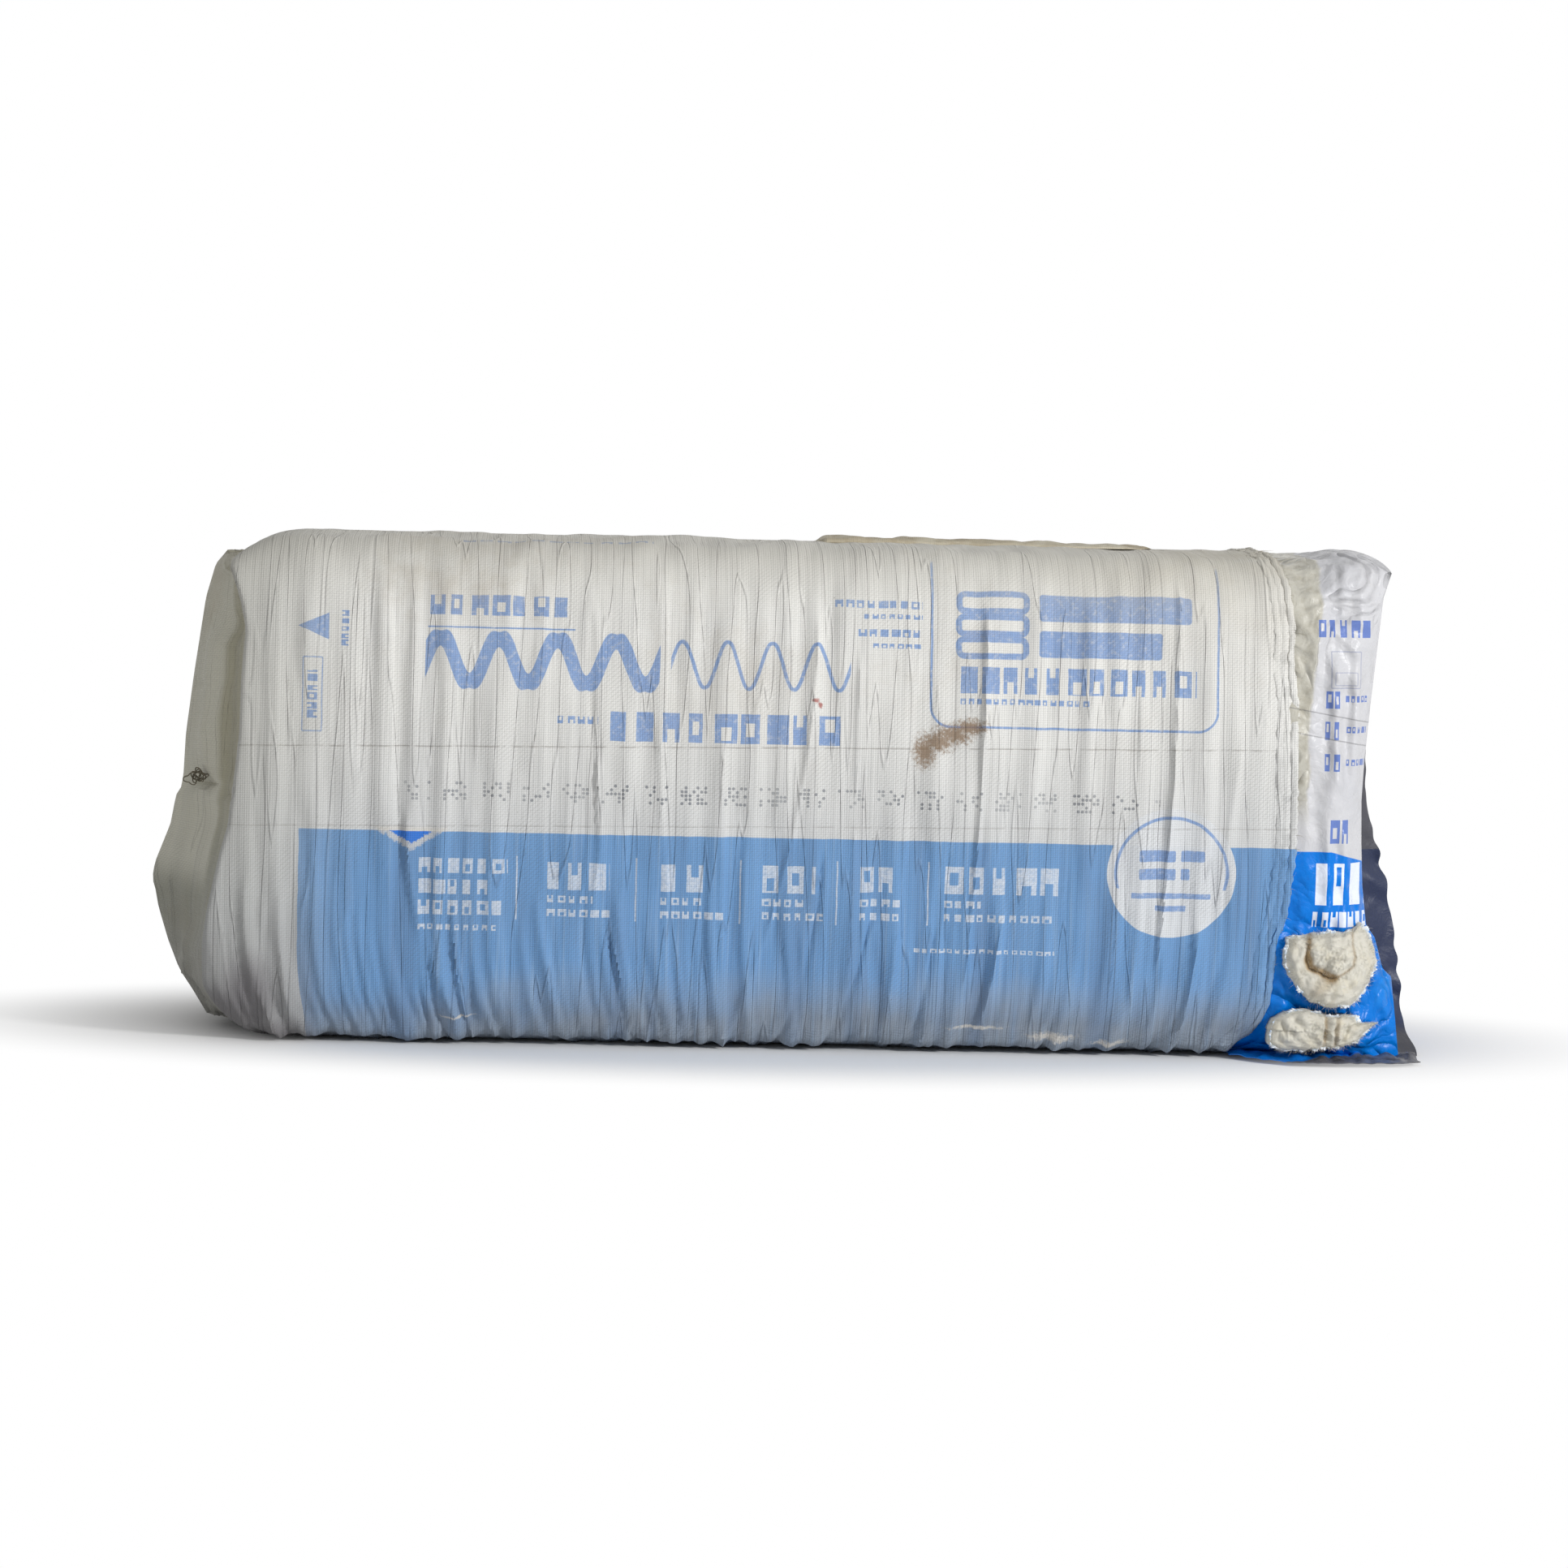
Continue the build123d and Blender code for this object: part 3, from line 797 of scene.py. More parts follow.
def film_shift(x, height, s, crumple):
    """The film's crumples: crisp facets, coarse above and fine below, upright soft folds down its
    middle, and pleats that fan out from the top of the mouth."""
    top = window(height, 0.4, 0.62, 0.05)
    foot = window(height, -0.12, 0.16, 0.05)
    coarse = 1.1 * facets(51, x, s, 0.06) * (0.45 + 0.55 * np.maximum(top, foot))
    fine = 0.8 * facets(52, x, s, 0.028) * (0.3 + 0.7 * foot)
    upright = 0.45 * folds(53, x, height, 0.03, 0.5) * window(height, 0.14, 0.42, 0.06)
    reach, turn = np.hypot(x - 0.545, height - 0.575), np.arctan2(x - 0.545, 0.575 - height)
    pleats = 0.8 * ridges(np.sin(13 * turn + 1.5 * np.sin(30 * reach)), 0.3)
    pleats = pleats * window(reach, 0.03, 0.13, 0.05) * window(turn, 0.1, 1.2, 0.3)
    return crumple * (coarse + fine + upright + pleats)


def film_points(sizes, wear):
    """The film bag's skin: the outline carried from the closed left end to near the right end, then
    lines from there to its fold edge, in front of the middle, bowed outward a little."""
    girth = Girth(sizes)
    s = girth.rows(14, 18, 130, 26)
    height = girth.height(s)
    left = sizes.stack_left - sizes.film_out
    x = np.concatenate(
        [np.linspace(left + 0.03, 0.48, 20, endpoint=False), np.arange(0.48, FILM_START, 0.0022)]
    )
    y, z, out_y, out_z = girth.at(s)
    grid_x = x[:, None] + 0 * s
    shown = smooth_step(grid_x, 0.5, 0.575)
    push = sizes.film_out - 0.0012 * (1 - shown) + shown * film_shift(grid_x, height, s, wear.crumple * 0.6)
    body = join(grid_x, y + out_y * push, z + out_z * push)
    cap_share = np.array([0.0, 0.5, 0.9])[:, None]
    cap_x = left + 0.03 * (1 - np.sqrt(1 - (1 - cap_share) ** 2)) + 0 * s
    middle = sizes.stack_foot + sizes.stack_height / 2
    cap = np.stack([cap_x, y * cap_share, middle + (z - middle) * cap_share], axis=-1)
    low, high = FOLD_EDGE[0, 0], FOLD_EDGE[-1, 0]
    edge_z = low + (high - low) * (z - z.min()) / (z.max() - z.min())
    edge_x = read_off(FOLD_EDGE, edge_z)
    fold = np.stack([edge_x, np.full_like(edge_x, FOLD_Y), edge_z], axis=-1)
    t = np.linspace(0, 1, 36)[1:, None]
    last = np.stack(
        [np.full_like(y, FILM_START), y + out_y * sizes.film_out, z + out_z * sizes.film_out], axis=-1
    )
    end = last[None] * (1 - t[..., None]) + fold[None] * t[..., None]
    bow = np.sin(np.pi * t) ** 0.9
    front = s <= girth.half
    end[..., 0] += bow * np.where(front, 0.1, 0.55) * 0.035
    end[..., 1] += bow * out_y * np.where(front, 0.012, 0.035)
    end[..., 2] += bow * out_z * 0.012
    plain = np.concatenate([cap, body, end])
    crumple = film_shift(end[..., 0], height + 0 * t, s + 0 * t, wear.crumple) * np.sin(np.pi * t) ** 0.5
    crumple = crumple + 0.6 * film_shift(end[..., 0], height + 0 * t, s + 0 * t, wear.crumple) * (1 - t) ** 2
    end[..., 1] += np.where(front, -1, 1) * crumple * np.abs(out_y)
    end[..., 2] += crumple * out_z * 0.6
    points = np.concatenate([cap, body, end])
    points[..., 1] = np.maximum(points[..., 1], FILM_FRONT)
    points[..., 2] = np.maximum(points[..., 2], 0.0006)
    v = np.broadcast_to(s + girth.level, plain.shape[:2])
    return points, np.stack([plain[..., 0], v], axis=-1), front


def tears():
    """The two tears' ragged outlines."""
    return ragged(UPPER_TEAR, 61, 0.003, 0.0012), ragged(LOWER_TEAR, 62, 0.003, 0.001)


class PACK_OT_film_bag(bpy.types.Operator):
    """Makes the inner bag of thin film, crumpled where it shows, with its two tears"""

    bl_idname = "pack.film_bag"
    bl_label = "Film bag"

    def execute(self, context):
        sizes, wear = context.scene.pack_sizes, context.scene.pack_wear
        points, uv, _ = film_points(sizes, wear)
        index = number_grid(points)
        joined = zip_ends(index)
        joined[0] = index[0, 0]
        quads = grid_faces(joined)
        flat = points.reshape(-1, 3)
        for outline in tears():
            corners = flat[quads]
            centre = corners.mean(axis=1)
            faces_front = (centre[:, 1] < -0.12) & (centre[:, 0] > 0.5)
            gone = faces_front & inside(outline, centre[:, 0], centre[:, 2])
            rim = np.intersect1d(quads[gone], quads[~gone])
            spots, gaps = nearest_on(outline, flat[rim, 0], flat[rim, 2])
            near = gaps < 0.005
            flat[rim[near], 0], flat[rim[near], 2] = spots[near, 0], spots[near, 1]
            quads = quads[~gone]
        material = film_finish(context.scene.pack_colours)
        film = make_piece("film_bag_skin", flat, clean_faces(quads), material, uv, 70)
        wall = film.modifiers.new("wall", "SOLIDIFY")
        wall.thickness, wall.offset = 0.0007, -1.0
        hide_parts("film_bag")
        return {"FINISHED"}


REAR_EDGE = np.array([
    (0.001, 0.718), (0.0159, 0.7155), (0.049, 0.7095), (0.1006, 0.7042), (0.1475, 0.6952),
    (0.2008, 0.6852), (0.2319, 0.6758), (0.2611, 0.6647), (0.3, 0.659), (0.3906, 0.656), (0.47, 0.654),
])


def thin_slab(front, thick):
    """Closes a grid of points into a thin slab: the grid, the same grid moved back by a vector, and
    strips round its four sides. Gives the points and the faces."""
    points = np.concatenate([front, (front + np.asarray(thick))[::-1]])
    index = number_grid(points)
    index = np.concatenate([index, index[:1]])
    faces = clean_faces(grid_faces(index, wrap=False))
    half = front.shape[0]
    first, last = index[:half], index[half : 2 * half][::-1]
    for column, turn in ((0, 1), (-1, -1)):
        a, b = first[:, column], last[:, column]
        faces += np.stack([a[:-1], b[:-1], b[1:], a[1:]], axis=-1)[:, ::turn].tolist()
    return points, faces


class PACK_OT_film_flap(bpy.types.Operator):
    """Hangs the film's loose flap behind its fold edge, and spreads the film's foot on the floor"""

    bl_idname = "pack.film_flap"
    bl_label = "Film flap"

    def execute(self, context):
        self.flap(context.scene.pack_wear, context.scene.pack_colours)
        self.foot(context.scene.pack_wear, context.scene.pack_colours)
        return {"FINISHED"}

    def flap(self, wear, colours):
        """A sheet behind the film's fold edge: each level runs from behind the edge to the loose
        edge's X, and swings a little forward near the floor."""
        up = np.linspace(0, 1, 150)[None, :]
        z = 0.0012 + (REAR_EDGE[-1, 0] - 0.0012) * up
        edge = read_off(REAR_EDGE, z)
        edge = edge + 0.0012 * wave_noise(72, z, 0 * z, 0.03, 1.0)
        run = np.linspace(0, 1, 40)[:, None]
        x = 0.618 + (edge - 0.618) * run
        y = -0.15 + 0.045 * run + 0.006 * np.sin(7 * z + 2 * run)
        y = y + 0.8 * wear.crumple * facets(71, x, z + 0 * x, 0.06) * np.sin(np.pi * np.clip(run, 0, 0.5))
        y = y - 0.06 * (1 - smooth_step(z, 0.0, 0.05)) * (0.6 + 0.4 * run)
        points, faces = thin_slab(join(x, y, z), (0.0, 0.0011, 0.0))
        plan = points[..., [0, 2]]
        flap = make_piece("film_bag_flap", points, faces, shaded_film_finish(colours), plan, 50)
        face_outward(flap)

    def foot(self, wear, colours):
        """The film's foot on the floor: from under the bag's mouth to its loose corner, with a front
        edge that follows a table, low crumples and a rim turned up against the bag."""
        run = np.linspace(0, 1, 90)[:, None]
        deep = np.linspace(0, 1, 26)[None, :]
        x = 0.5 + 0.207 * run
        edge = read_off(FOOT_EDGE, x)
        y = -0.15 + (edge + 0.15) * deep
        lift = 0.0035 + 0.9 * wear.crumple * np.abs(facets(73, x + 0 * y, y, 0.03))
        z = 0.001 + lift * np.sin(np.pi * np.clip(deep, 0, 0.93)) + 0.0022 * smooth_step(deep, 0.8, 1.0)
        points, faces = thin_slab(join(x, y, z), (0.0, 0.0, 0.0009))
        plan = points[..., [0, 1]]
        foot = make_piece("film_bag_foot", points, faces, foot_film(colours), plan, 50)
        face_outward(foot)


FOOT_EDGE = np.array([
    (0.5, -0.205), (0.53, -0.244), (0.56, -0.266), (0.6, -0.2695), (0.65, -0.266), (0.69, -0.256),
    (0.707, -0.24),
])


# The batts and their wool


class PACK_OT_batts(bpy.types.Operator):
    """Stacks the batts face to face in the film bag"""

    bl_idname = "pack.batts"
    bl_label = "Batts"

    def execute(self, context):
        sizes = context.scene.pack_sizes
        girth = Girth(sizes)
        thick = (sizes.stack_depth - (sizes.batt_count - 1) * sizes.batt_gap) / sizes.batt_count
        centre = -sizes.stack_depth / 2 + thick / 2 + np.arange(sizes.batt_count) * (thick + sizes.batt_gap)
        widest = int(np.argmin(girth.points[:, 0]))
        low = np.interp(np.abs(centre) + thick / 2, -girth.points[:widest, 0], girth.points[:widest, 1])
        above = girth.points[widest:][::-1]
        high = np.interp(np.abs(centre) + thick / 2, -above[:, 0], above[:, 1])
        share = np.array([0.0, 0.5, 0.8, 0.93, 0.98, 1.0, 1.0, 0.98, 0.93, 0.8, 0.5, 0.0])
        depth = np.array([-0.5, -0.5, -0.5, -0.49, -0.42, -0.25, 0.25, 0.42, 0.49, 0.5, 0.5, 0.5])
        angle = np.linspace(0, FULL_TURN, 72, endpoint=False)
        square = 1 / np.maximum(np.abs(np.cos(angle)), np.abs(np.sin(angle))) ** 0.93
        right = sizes.stack_right - 0.034 * smooth_step(centre, 0.04, 0.19)
        right = (right - 0.03 * smooth_step(-centre, 0.19, 0.225))[:, None, None]
        half_x = (right - sizes.stack_left) / 2 - 0.0006
        middle_x = (right + sizes.stack_left) / 2
        half_z = (high - low) / 2 - 0.0004
        shape = (sizes.batt_count, len(share), len(angle))
        reach = share[None, :, None] * square[None, None, :]
        x = middle_x + half_x * np.clip(reach * np.cos(angle), -1, 1) + np.zeros(shape)
        z = ((high + low) / 2)[:, None, None] + half_z[:, None, None] * np.clip(reach * np.sin(angle), -1, 1)
        y = 0.988 * centre[:, None, None] + thick * 0.98 * depth[None, :, None] + np.zeros(shape)
        points = join(x, y, z)
        index = np.arange(points[..., 0].size).reshape(shape)
        index[:, 0, :], index[:, -1, :] = index[:, 0, :1], index[:, -1, :1]
        quads = np.concatenate([grid_faces(table) for table in index])[:, ::-1]
        material = wool_finish(context.scene.pack_colours)
        stack = make_piece("batt_stack", points, clean_faces(quads), material, sharp=50)
        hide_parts("batts")
        return {"FINISHED"}


def furrow(x, z, path, width, depth):
    """A groove along a path: depth times e to the minus square of the distance over the width."""
    _, gaps = nearest_on(np.array(path), x, z, closed=False)
    return depth * np.exp(-((gaps.reshape(np.shape(x)) / width) ** 2))


class PACK_OT_wool(bpy.types.Operator):
    """Swells the wool out of the two tears, with its folds, loose fibres and the film's torn lips"""

    bl_idname = "pack.wool"
    bl_label = "Wool"

    def execute(self, context):
        colours = context.scene.pack_colours
        for number, outline in enumerate(tears()):
            self.tuft(colours, number, outline)
            self.fibres(colours, number, outline)
            self.lips(number, outline)
        return {"FINISHED"}

    def tuft(self, colours, number, outline):
        """One mound of wool: rings of the tear's outline shrunk to its middle, standing out by a low
        dome with lobes, broken up by furrows and by soft lumps."""
        middle = outline.mean(axis=0)
        ring = np.linspace(0, 1, 80)[:, None, None]
        plan = middle + (outline - middle) * ring * 1.06
        x, z = plan[..., 0], plan[..., 1]
        r = ring[:, :, 0] * np.ones_like(x)
        rise = wool_rise(number, x, z)
        rim = np.sqrt(np.clip(1 - r**4, 0, 1))
        y = np.maximum(tear_plane(x) - rise * rim + 0.005 * (1 - rim), -0.264)
        skin = join(x, y, z)
        hidden = np.stack([x, np.maximum(y, tear_plane(x)) + 0.014, z], axis=-1)
        points = np.concatenate([skin, hidden[::-1][::8]])
        index = number_grid(points)
        index[0], index[-1] = index[0, 0], index[-1, 0]
        faces = clean_faces(grid_faces(index))
        deep = wool_fold_tint_and_shade(number, x, z)
        marks = {"fold_depth": np.concatenate([deep, 0 * deep[::-1][::8]])}
        name = f"wool_tuft_{number + 1}"
        tuft = make_piece(name, points, faces, wool_finish(colours), marks=marks)
        face_outward(tuft)

    def fibres(self, colours, number, outline):
        """Loose fibres: most stand round the rim, some lie on the mound. Each starts on the wool,
        runs off in a random direction and curls."""
        rng = np.random.default_rng(87 + number)
        count = 2600 if number == 0 else 2000
        share = np.where(
            rng.uniform(size=count) < 0.55, rng.uniform(0.9, 1.05, count), rng.uniform(0.1, 0.95, count)
        )
        middle = outline.mean(axis=0)
        start = middle + (outline[rng.integers(0, len(outline), count)] - middle) * share[:, None]
        x, z = start.T
        y = tear_plane(x) - wool_rise(number, x, z) * np.sqrt(np.clip(1 - (share / 1.06) ** 4, 0, 1)) + 0.0006
        outward = (start - middle) / (np.linalg.norm(start - middle, axis=1, keepdims=True) + 1e-9)
        turn = rng.uniform(0, FULL_TURN, count)
        lie = np.stack([np.cos(turn), np.sin(turn)], axis=-1)
        edge = smooth_step(share, 0.8, 0.95)[:, None]
        heading = outward * 0.5 * edge + lie * (1 - 0.4 * edge)
        long = rng.uniform(0.0025, 0.0065, count) * np.where(share > 0.9, 1.0, 0.8)
        run = np.linspace(0, 1, 5)
        curl = rng.normal(0, 0.35, (count, 2))[:, None, :] * (run**2)[None, :, None]
        flat = start[:, None, :] + long[:, None, None] * (heading[:, None, :] * run[None, :, None] + curl)
        stand = rng.uniform(0.0002, 0.0022, count)[:, None] * np.sin(np.pi * run * 0.8)
        paths = np.stack([flat[..., 0], np.maximum(y[:, None] - stand, -0.27), flat[..., 1]], axis=-1)
        paths[..., 2] = np.maximum(paths[..., 2], 0.001)
        quiet = np.tile([0.1, 1.0, 0.2], (count, 1))
        points, faces = tubes(paths, quiet, rng.uniform(0.0001, 0.00022, count), 3)
        make_piece(f"wool_fibres_{number + 1}", points, faces, wool_finish(colours))

    def lips(self, number, outline):
        """The film's torn rim: a narrow white strip that stands up and curls back along the tear, of
        a width that jumps about, and none where it falls below zero."""
        rng = np.random.default_rng(97 + number)
        count = len(outline) * 4
        around = np.arange(count) / 4
        closed = np.concatenate([outline, outline[:1]])
        path = join(*(np.interp(around, np.arange(len(closed)), closed[:, n]) for n in (0, 1)))
        middle = outline.mean(axis=0)
        outward = (path - middle) / np.linalg.norm(path - middle, axis=1, keepdims=True)
        jog = eased(rng.normal(0, 1, count))
        turn = around * FULL_TURN / len(outline)
        slow = wave_noise(98 + number, np.cos(turn), np.sin(turn), 0.5, 0.5)
        wide = np.clip(0.0028 + 0.002 * slow + 0.0016 * jog, 0.0005, 0.008)
        turn = np.linspace(0, 1, 6)[:, None]
        spread = wide * np.sin(0.5 * np.pi * turn)
        lift = -0.0012 - wide * 0.55 * np.sin(np.pi * turn * 0.85) - 0.0006 * jog * turn
        x = path[:, 0] + outward[:, 0] * (spread - 0.001)
        z = np.maximum(path[:, 1] + outward[:, 1] * (spread - 0.001), 0.002)
        y = np.maximum(tear_plane(x) + 0.0015 + lift, -0.266)
        front = join(x, y, z)
        points = np.concatenate([front, (front + np.array([0.0, 0.0007, 0.0]))[::-1]])
        index = number_grid(points)
        index = np.concatenate([index, index[:1]])
        faces = [f[::-1] for f in clean_faces(grid_faces(index))]
        name = f"film_torn_rim_{number + 1}"
        face_outward(make_piece(name, points, faces, torn_film(), sharp=60))


def tear_plane(x):
    """Y of the film round the tears: flat, then turning away towards the fold edge."""
    return -0.244 + 0.03 * smooth_step(x, 0.605, 0.67)


TONGUE = np.array([
    (0.579, 0.16), (0.5775, 0.134), (0.5758, 0.118), (0.579, 0.107), (0.5905, 0.103), (0.602, 0.0965),
    (0.6105, 0.0975), (0.62, 0.103), (0.6275, 0.109), (0.63, 0.12), (0.6265, 0.133), (0.627, 0.16),
])
PINCH = [(0.577, 0.116), (0.579, 0.108), (0.5905, 0.1035), (0.602, 0.0975), (0.606, 0.0965)]


def wool_rise(number, x, z):
    """How far the wool stands out at a place: rounded lobes, with one lapped over the rest as a
    rounded step along its border, shallow furrows that fan out from the pinch, and soft lumps."""
    if number == 0:
        bent_x = x + 0.001 * wave_noise(87, x, z, 0.013, 0.011)
        _, gaps = nearest_on(TONGUE, bent_x, z + 0.001 * wave_noise(88, x, z, 0.012, 0.014))
        gaps = gaps.reshape(np.shape(x))
        rise = 0.0075 + 0.0045 * bell(x - 0.641, z - 0.11, 0.014, 0.03)
        rise += 0.0045 * bell(x - 0.602, z - 0.08, 0.03, 0.013)
        rise += 0.0035 * bell(x - 0.564, z - 0.118, 0.01, 0.026)
        lap = 0.0052 * (1 - np.exp(-gaps / 0.006))
        sunk = -0.004 * np.exp(-gaps / 0.0055)
        firm = 1 - 0.85 * bell(x - 0.616, z - 0.101, 0.0085, 0.0085)
        rise += np.where(inside(TONGUE, x, z), lap, sunk) * firm
        rise += furrow(x, z, PINCH, 0.0045, -0.004)
        for path, width, depth in (
            ([(0.596, 0.098), (0.588, 0.088), (0.58, 0.079)], 0.005, -0.003),
            ([(0.606, 0.096), (0.605, 0.086), (0.604, 0.074)], 0.005, -0.003),
            ([(0.615, 0.099), (0.625, 0.088), (0.631, 0.08)], 0.0045, -0.0024),
            ([(0.595, 0.104), (0.6, 0.118), (0.596, 0.134)], 0.006, -0.002),
        ):
            rise += furrow(x, z, path, width, depth)
    else:
        rise = 0.007 + 0.005 * bell(x - 0.566, z - 0.038, 0.022, 0.018)
        rise += 0.003 * bell(x - 0.611, z - 0.036, 0.01, 0.014)
        rise += furrow(x, z, [(0.564, 0.05), (0.574, 0.035), (0.5859, 0.026)], 0.0055, -0.003)
        step = smooth_step(x - 0.5965 - 0.08 * (z - 0.036), -0.001, 0.0012)
        rise += -0.006 * step * (1 - smooth_step(x, 0.599, 0.609))
        for path, width, depth in (
            ([(0.6135, 0.056), (0.6095, 0.038), (0.6105, 0.022)], 0.0022, -0.0055),
            ([(0.629, 0.05), (0.623, 0.038), (0.618, 0.026)], 0.0026, -0.006),
            ([(0.548, 0.05), (0.552, 0.042), (0.554, 0.033)], 0.002, -0.0035),
        ):
            rise += furrow(x, z, path, width, depth)
    soft = wave_noise(81 + number, x, z, 0.018, 0.016)
    rise += 0.001 * soft + 0.00034 * wave_noise(83 + number, x, z, 0.006, 0.006)
    return rise + 0.00012 * wave_noise(85 + number, x, z, 0.0018, 0.0018)


def wool_fold_tint_and_shade(number, x, z):
    """How yellow and how dark the wool is at a place, partly its own tint and partly painted shade in its
    folds: most in the pinch, less along the lapped lobe's border.
    """
    if number == 0:
        _, gaps = nearest_on(TONGUE, x, z)
        gaps = gaps.reshape(np.shape(x))
        tint = 0.6 * np.exp(-((gaps / 0.0022) ** 2)) * window(z, 0.09, 0.15, 0.01)
        tint += furrow(x, z, [(0.5785, 0.146), (0.5765, 0.118)], 0.0045, 0.35)
        return tint + furrow(x, z, PINCH, 0.0048, 1.0) + furrow(x, z, [(0.6, 0.092), (0.588, 0.08)], 0.01, 0.4)
    return (
        furrow(x, z, [(0.6, 0.056), (0.5985, 0.018)], 0.0025, 0.7)
        + furrow(x, z, [(0.6135, 0.056), (0.6105, 0.022)], 0.0035, 0.5)
    )


# Nodes and materials


class Field:
    """A value that nodes work out. Arithmetic and comparisons on it add Math nodes to its tree."""

    def __init__(self, socket):
        self.socket = socket

    def __radd__(self, other):
        return calc("ADD", other, self)

    def __rsub__(self, other):
        return calc("SUBTRACT", other, self)

    def __abs__(self):
        return calc("ABSOLUTE", self)


def field_operation(operation):
    """The method of a field that joins it to another value by a Math node."""
    return lambda first, second: calc(operation, first, second)


FIELD_OPERATIONS = {
    "__add__": "ADD", "__sub__": "SUBTRACT", "__mul__": "MULTIPLY", "__truediv__": "DIVIDE",
    "__pow__": "POWER", "__lt__": "LESS_THAN", "__gt__": "GREATER_THAN",
}
for method, operation in FIELD_OPERATIONS.items():
    setattr(Field, method, field_operation(operation))


def tree_of(values):
    """The node tree of the first field among some values."""
    return next(value.socket.id_data for value in values if isinstance(value, Field))


def put(socket, value):
    """Links a field to a socket, or sets the socket's own value."""
    if isinstance(value, Field):
        socket.id_data.links.new(value.socket, socket)
    else:
        socket.default_value = value


def calc(operation, *values):
    """A Math node."""
    node = tree_of(values).nodes.new("ShaderNodeMath")
    node.operation = operation
    for socket, value in zip(node.inputs, values):
        put(socket, value)
    return Field(node.outputs[0])


def most(*values):
    """The largest of some fields."""
    return functools.reduce(lambda first, second: calc("MAXIMUM", first, second), values)


def mix(factor, first, second):
    """A colour Mix node."""
    node = tree_of([factor]).nodes.new("ShaderNodeMix")
    node.data_type = "RGBA"
    for number, value in ((0, factor), (6, first), (7, second)):
        put(node.inputs[number], value)
    return Field(node.outputs[2])


def ramp(value, low, high, bottom=0.0, top=1.0):
    """A Map Range node with smooth steps, which keep within their ends without the clamp."""
    node = tree_of([value]).nodes.new("ShaderNodeMapRange")
    node.interpolation_type, node.clamp = "SMOOTHSTEP", False
    for socket, item in zip(node.inputs, (value, low, high, bottom, top)):
        put(socket, item)
    return Field(node.outputs[0])


def noise(vector, scale, detail=4.0, rough=0.6, stretch=None, bend=0.0):
    """A Noise node, with its vector scaled first where a stretch is given."""
    tree = tree_of([vector])
    if stretch is not None:
        mapping = tree.nodes.new("ShaderNodeMapping")
        put(mapping.inputs["Vector"], vector)
        mapping.inputs["Scale"].default_value = stretch
        vector = Field(mapping.outputs[0])
    node = tree.nodes.new("ShaderNodeTexNoise")
    settings = {"Vector": vector, "Scale": scale, "Detail": detail, "Roughness": rough, "Distortion": bend}
    for label, value in settings.items():
        put(node.inputs[label], value)
    return Field(node.outputs[0])


def split(vector):
    """The X, Y and Z of a vector."""
    node = tree_of([vector]).nodes.new("ShaderNodeSeparateXYZ")
    put(node.inputs[0], vector)
    return [Field(output) for output in node.outputs]


def bump(height, strength, distance, normal=None):
    """A Bump node."""
    node = tree_of([height]).nodes.new("ShaderNodeBump")
    put(node.inputs["Strength"], strength)
    put(node.inputs["Distance"], distance)
    put(node.inputs["Height"], height)
    if normal is not None:
        put(node.inputs["Normal"], normal)
    return Field(node.outputs[0])


def node_group(name, inputs, outputs="Mask"):
    """Turns a function of its inputs into a shader node group. The group is built on its first use,
    and each use places it with its own values and gives its outputs, or its only one."""

    def build(function):
        tree = bpy.data.node_groups.new(name, "ShaderNodeTree")
        for label in inputs.split(", "):
            kind = "NodeSocketVector" if label == "Vector" else "NodeSocketFloat"
            tree.interface.new_socket(label, in_out="INPUT", socket_type=kind)
        for label in outputs.split(", "):
            tree.interface.new_socket(label, in_out="OUTPUT", socket_type="NodeSocketFloat")
        given = tree.nodes.new("NodeGroupInput").outputs[:-1]
        made = tree.nodes.new("NodeGroupOutput").inputs
        for socket, result in zip(made, function(*map(Field, given))):
            put(socket, result)
        return tree

    def wrap(function):
        def place(*values):
            node = tree_of(values).nodes.new("ShaderNodeGroup")
            node.node_tree = bpy.data.node_groups.get(name) or build(function)
            for socket, value in zip(node.inputs, values):
                put(socket, value)
            results = [Field(output) for output in node.outputs]
            return results if len(results) > 1 else results[0]

        return place

    return wrap


@node_group("Tape weave", "Vector, Tape", "Height, Gap")
def tape_weave(vector, tape):
    """Flat tapes over and under each other: across and along tapes by turns, each with a round back,
    as the sine of the place within the tape. Puts out the height and a mask of the gaps."""
    u, v = (part / tape for part in split(vector)[:2])
    cells = calc("FLOOR", u) + calc("FLOOR", v)
    over = calc("PINGPONG", cells, 1.0)
    round_u = calc("SINE", calc("FRACT", u) * np.pi)
    round_v = calc("SINE", calc("FRACT", v) * np.pi)
    upper = round_u ** 0.35 * round_v ** 0.8
    lower = round_v ** 0.35 * round_u ** 0.8
    height = upper * over + lower * (1.0 - over)
    return height, ramp(height, 0.5, 0.0)


@node_group("Yard dirt", "Vector, Amount")
def yard_dirt(vector, amount):
    """Blotches of dirt from two sizes of noise, cut off below an amount."""
    broad = noise(vector, 5.0, 6.0, 0.62)
    fine = noise(vector, 38.0, 6.0, 0.7)
    both = broad * 0.7 + fine * 0.3
    low = 0.72 - amount * 0.4
    return (ramp(both, low, low + 0.22),)


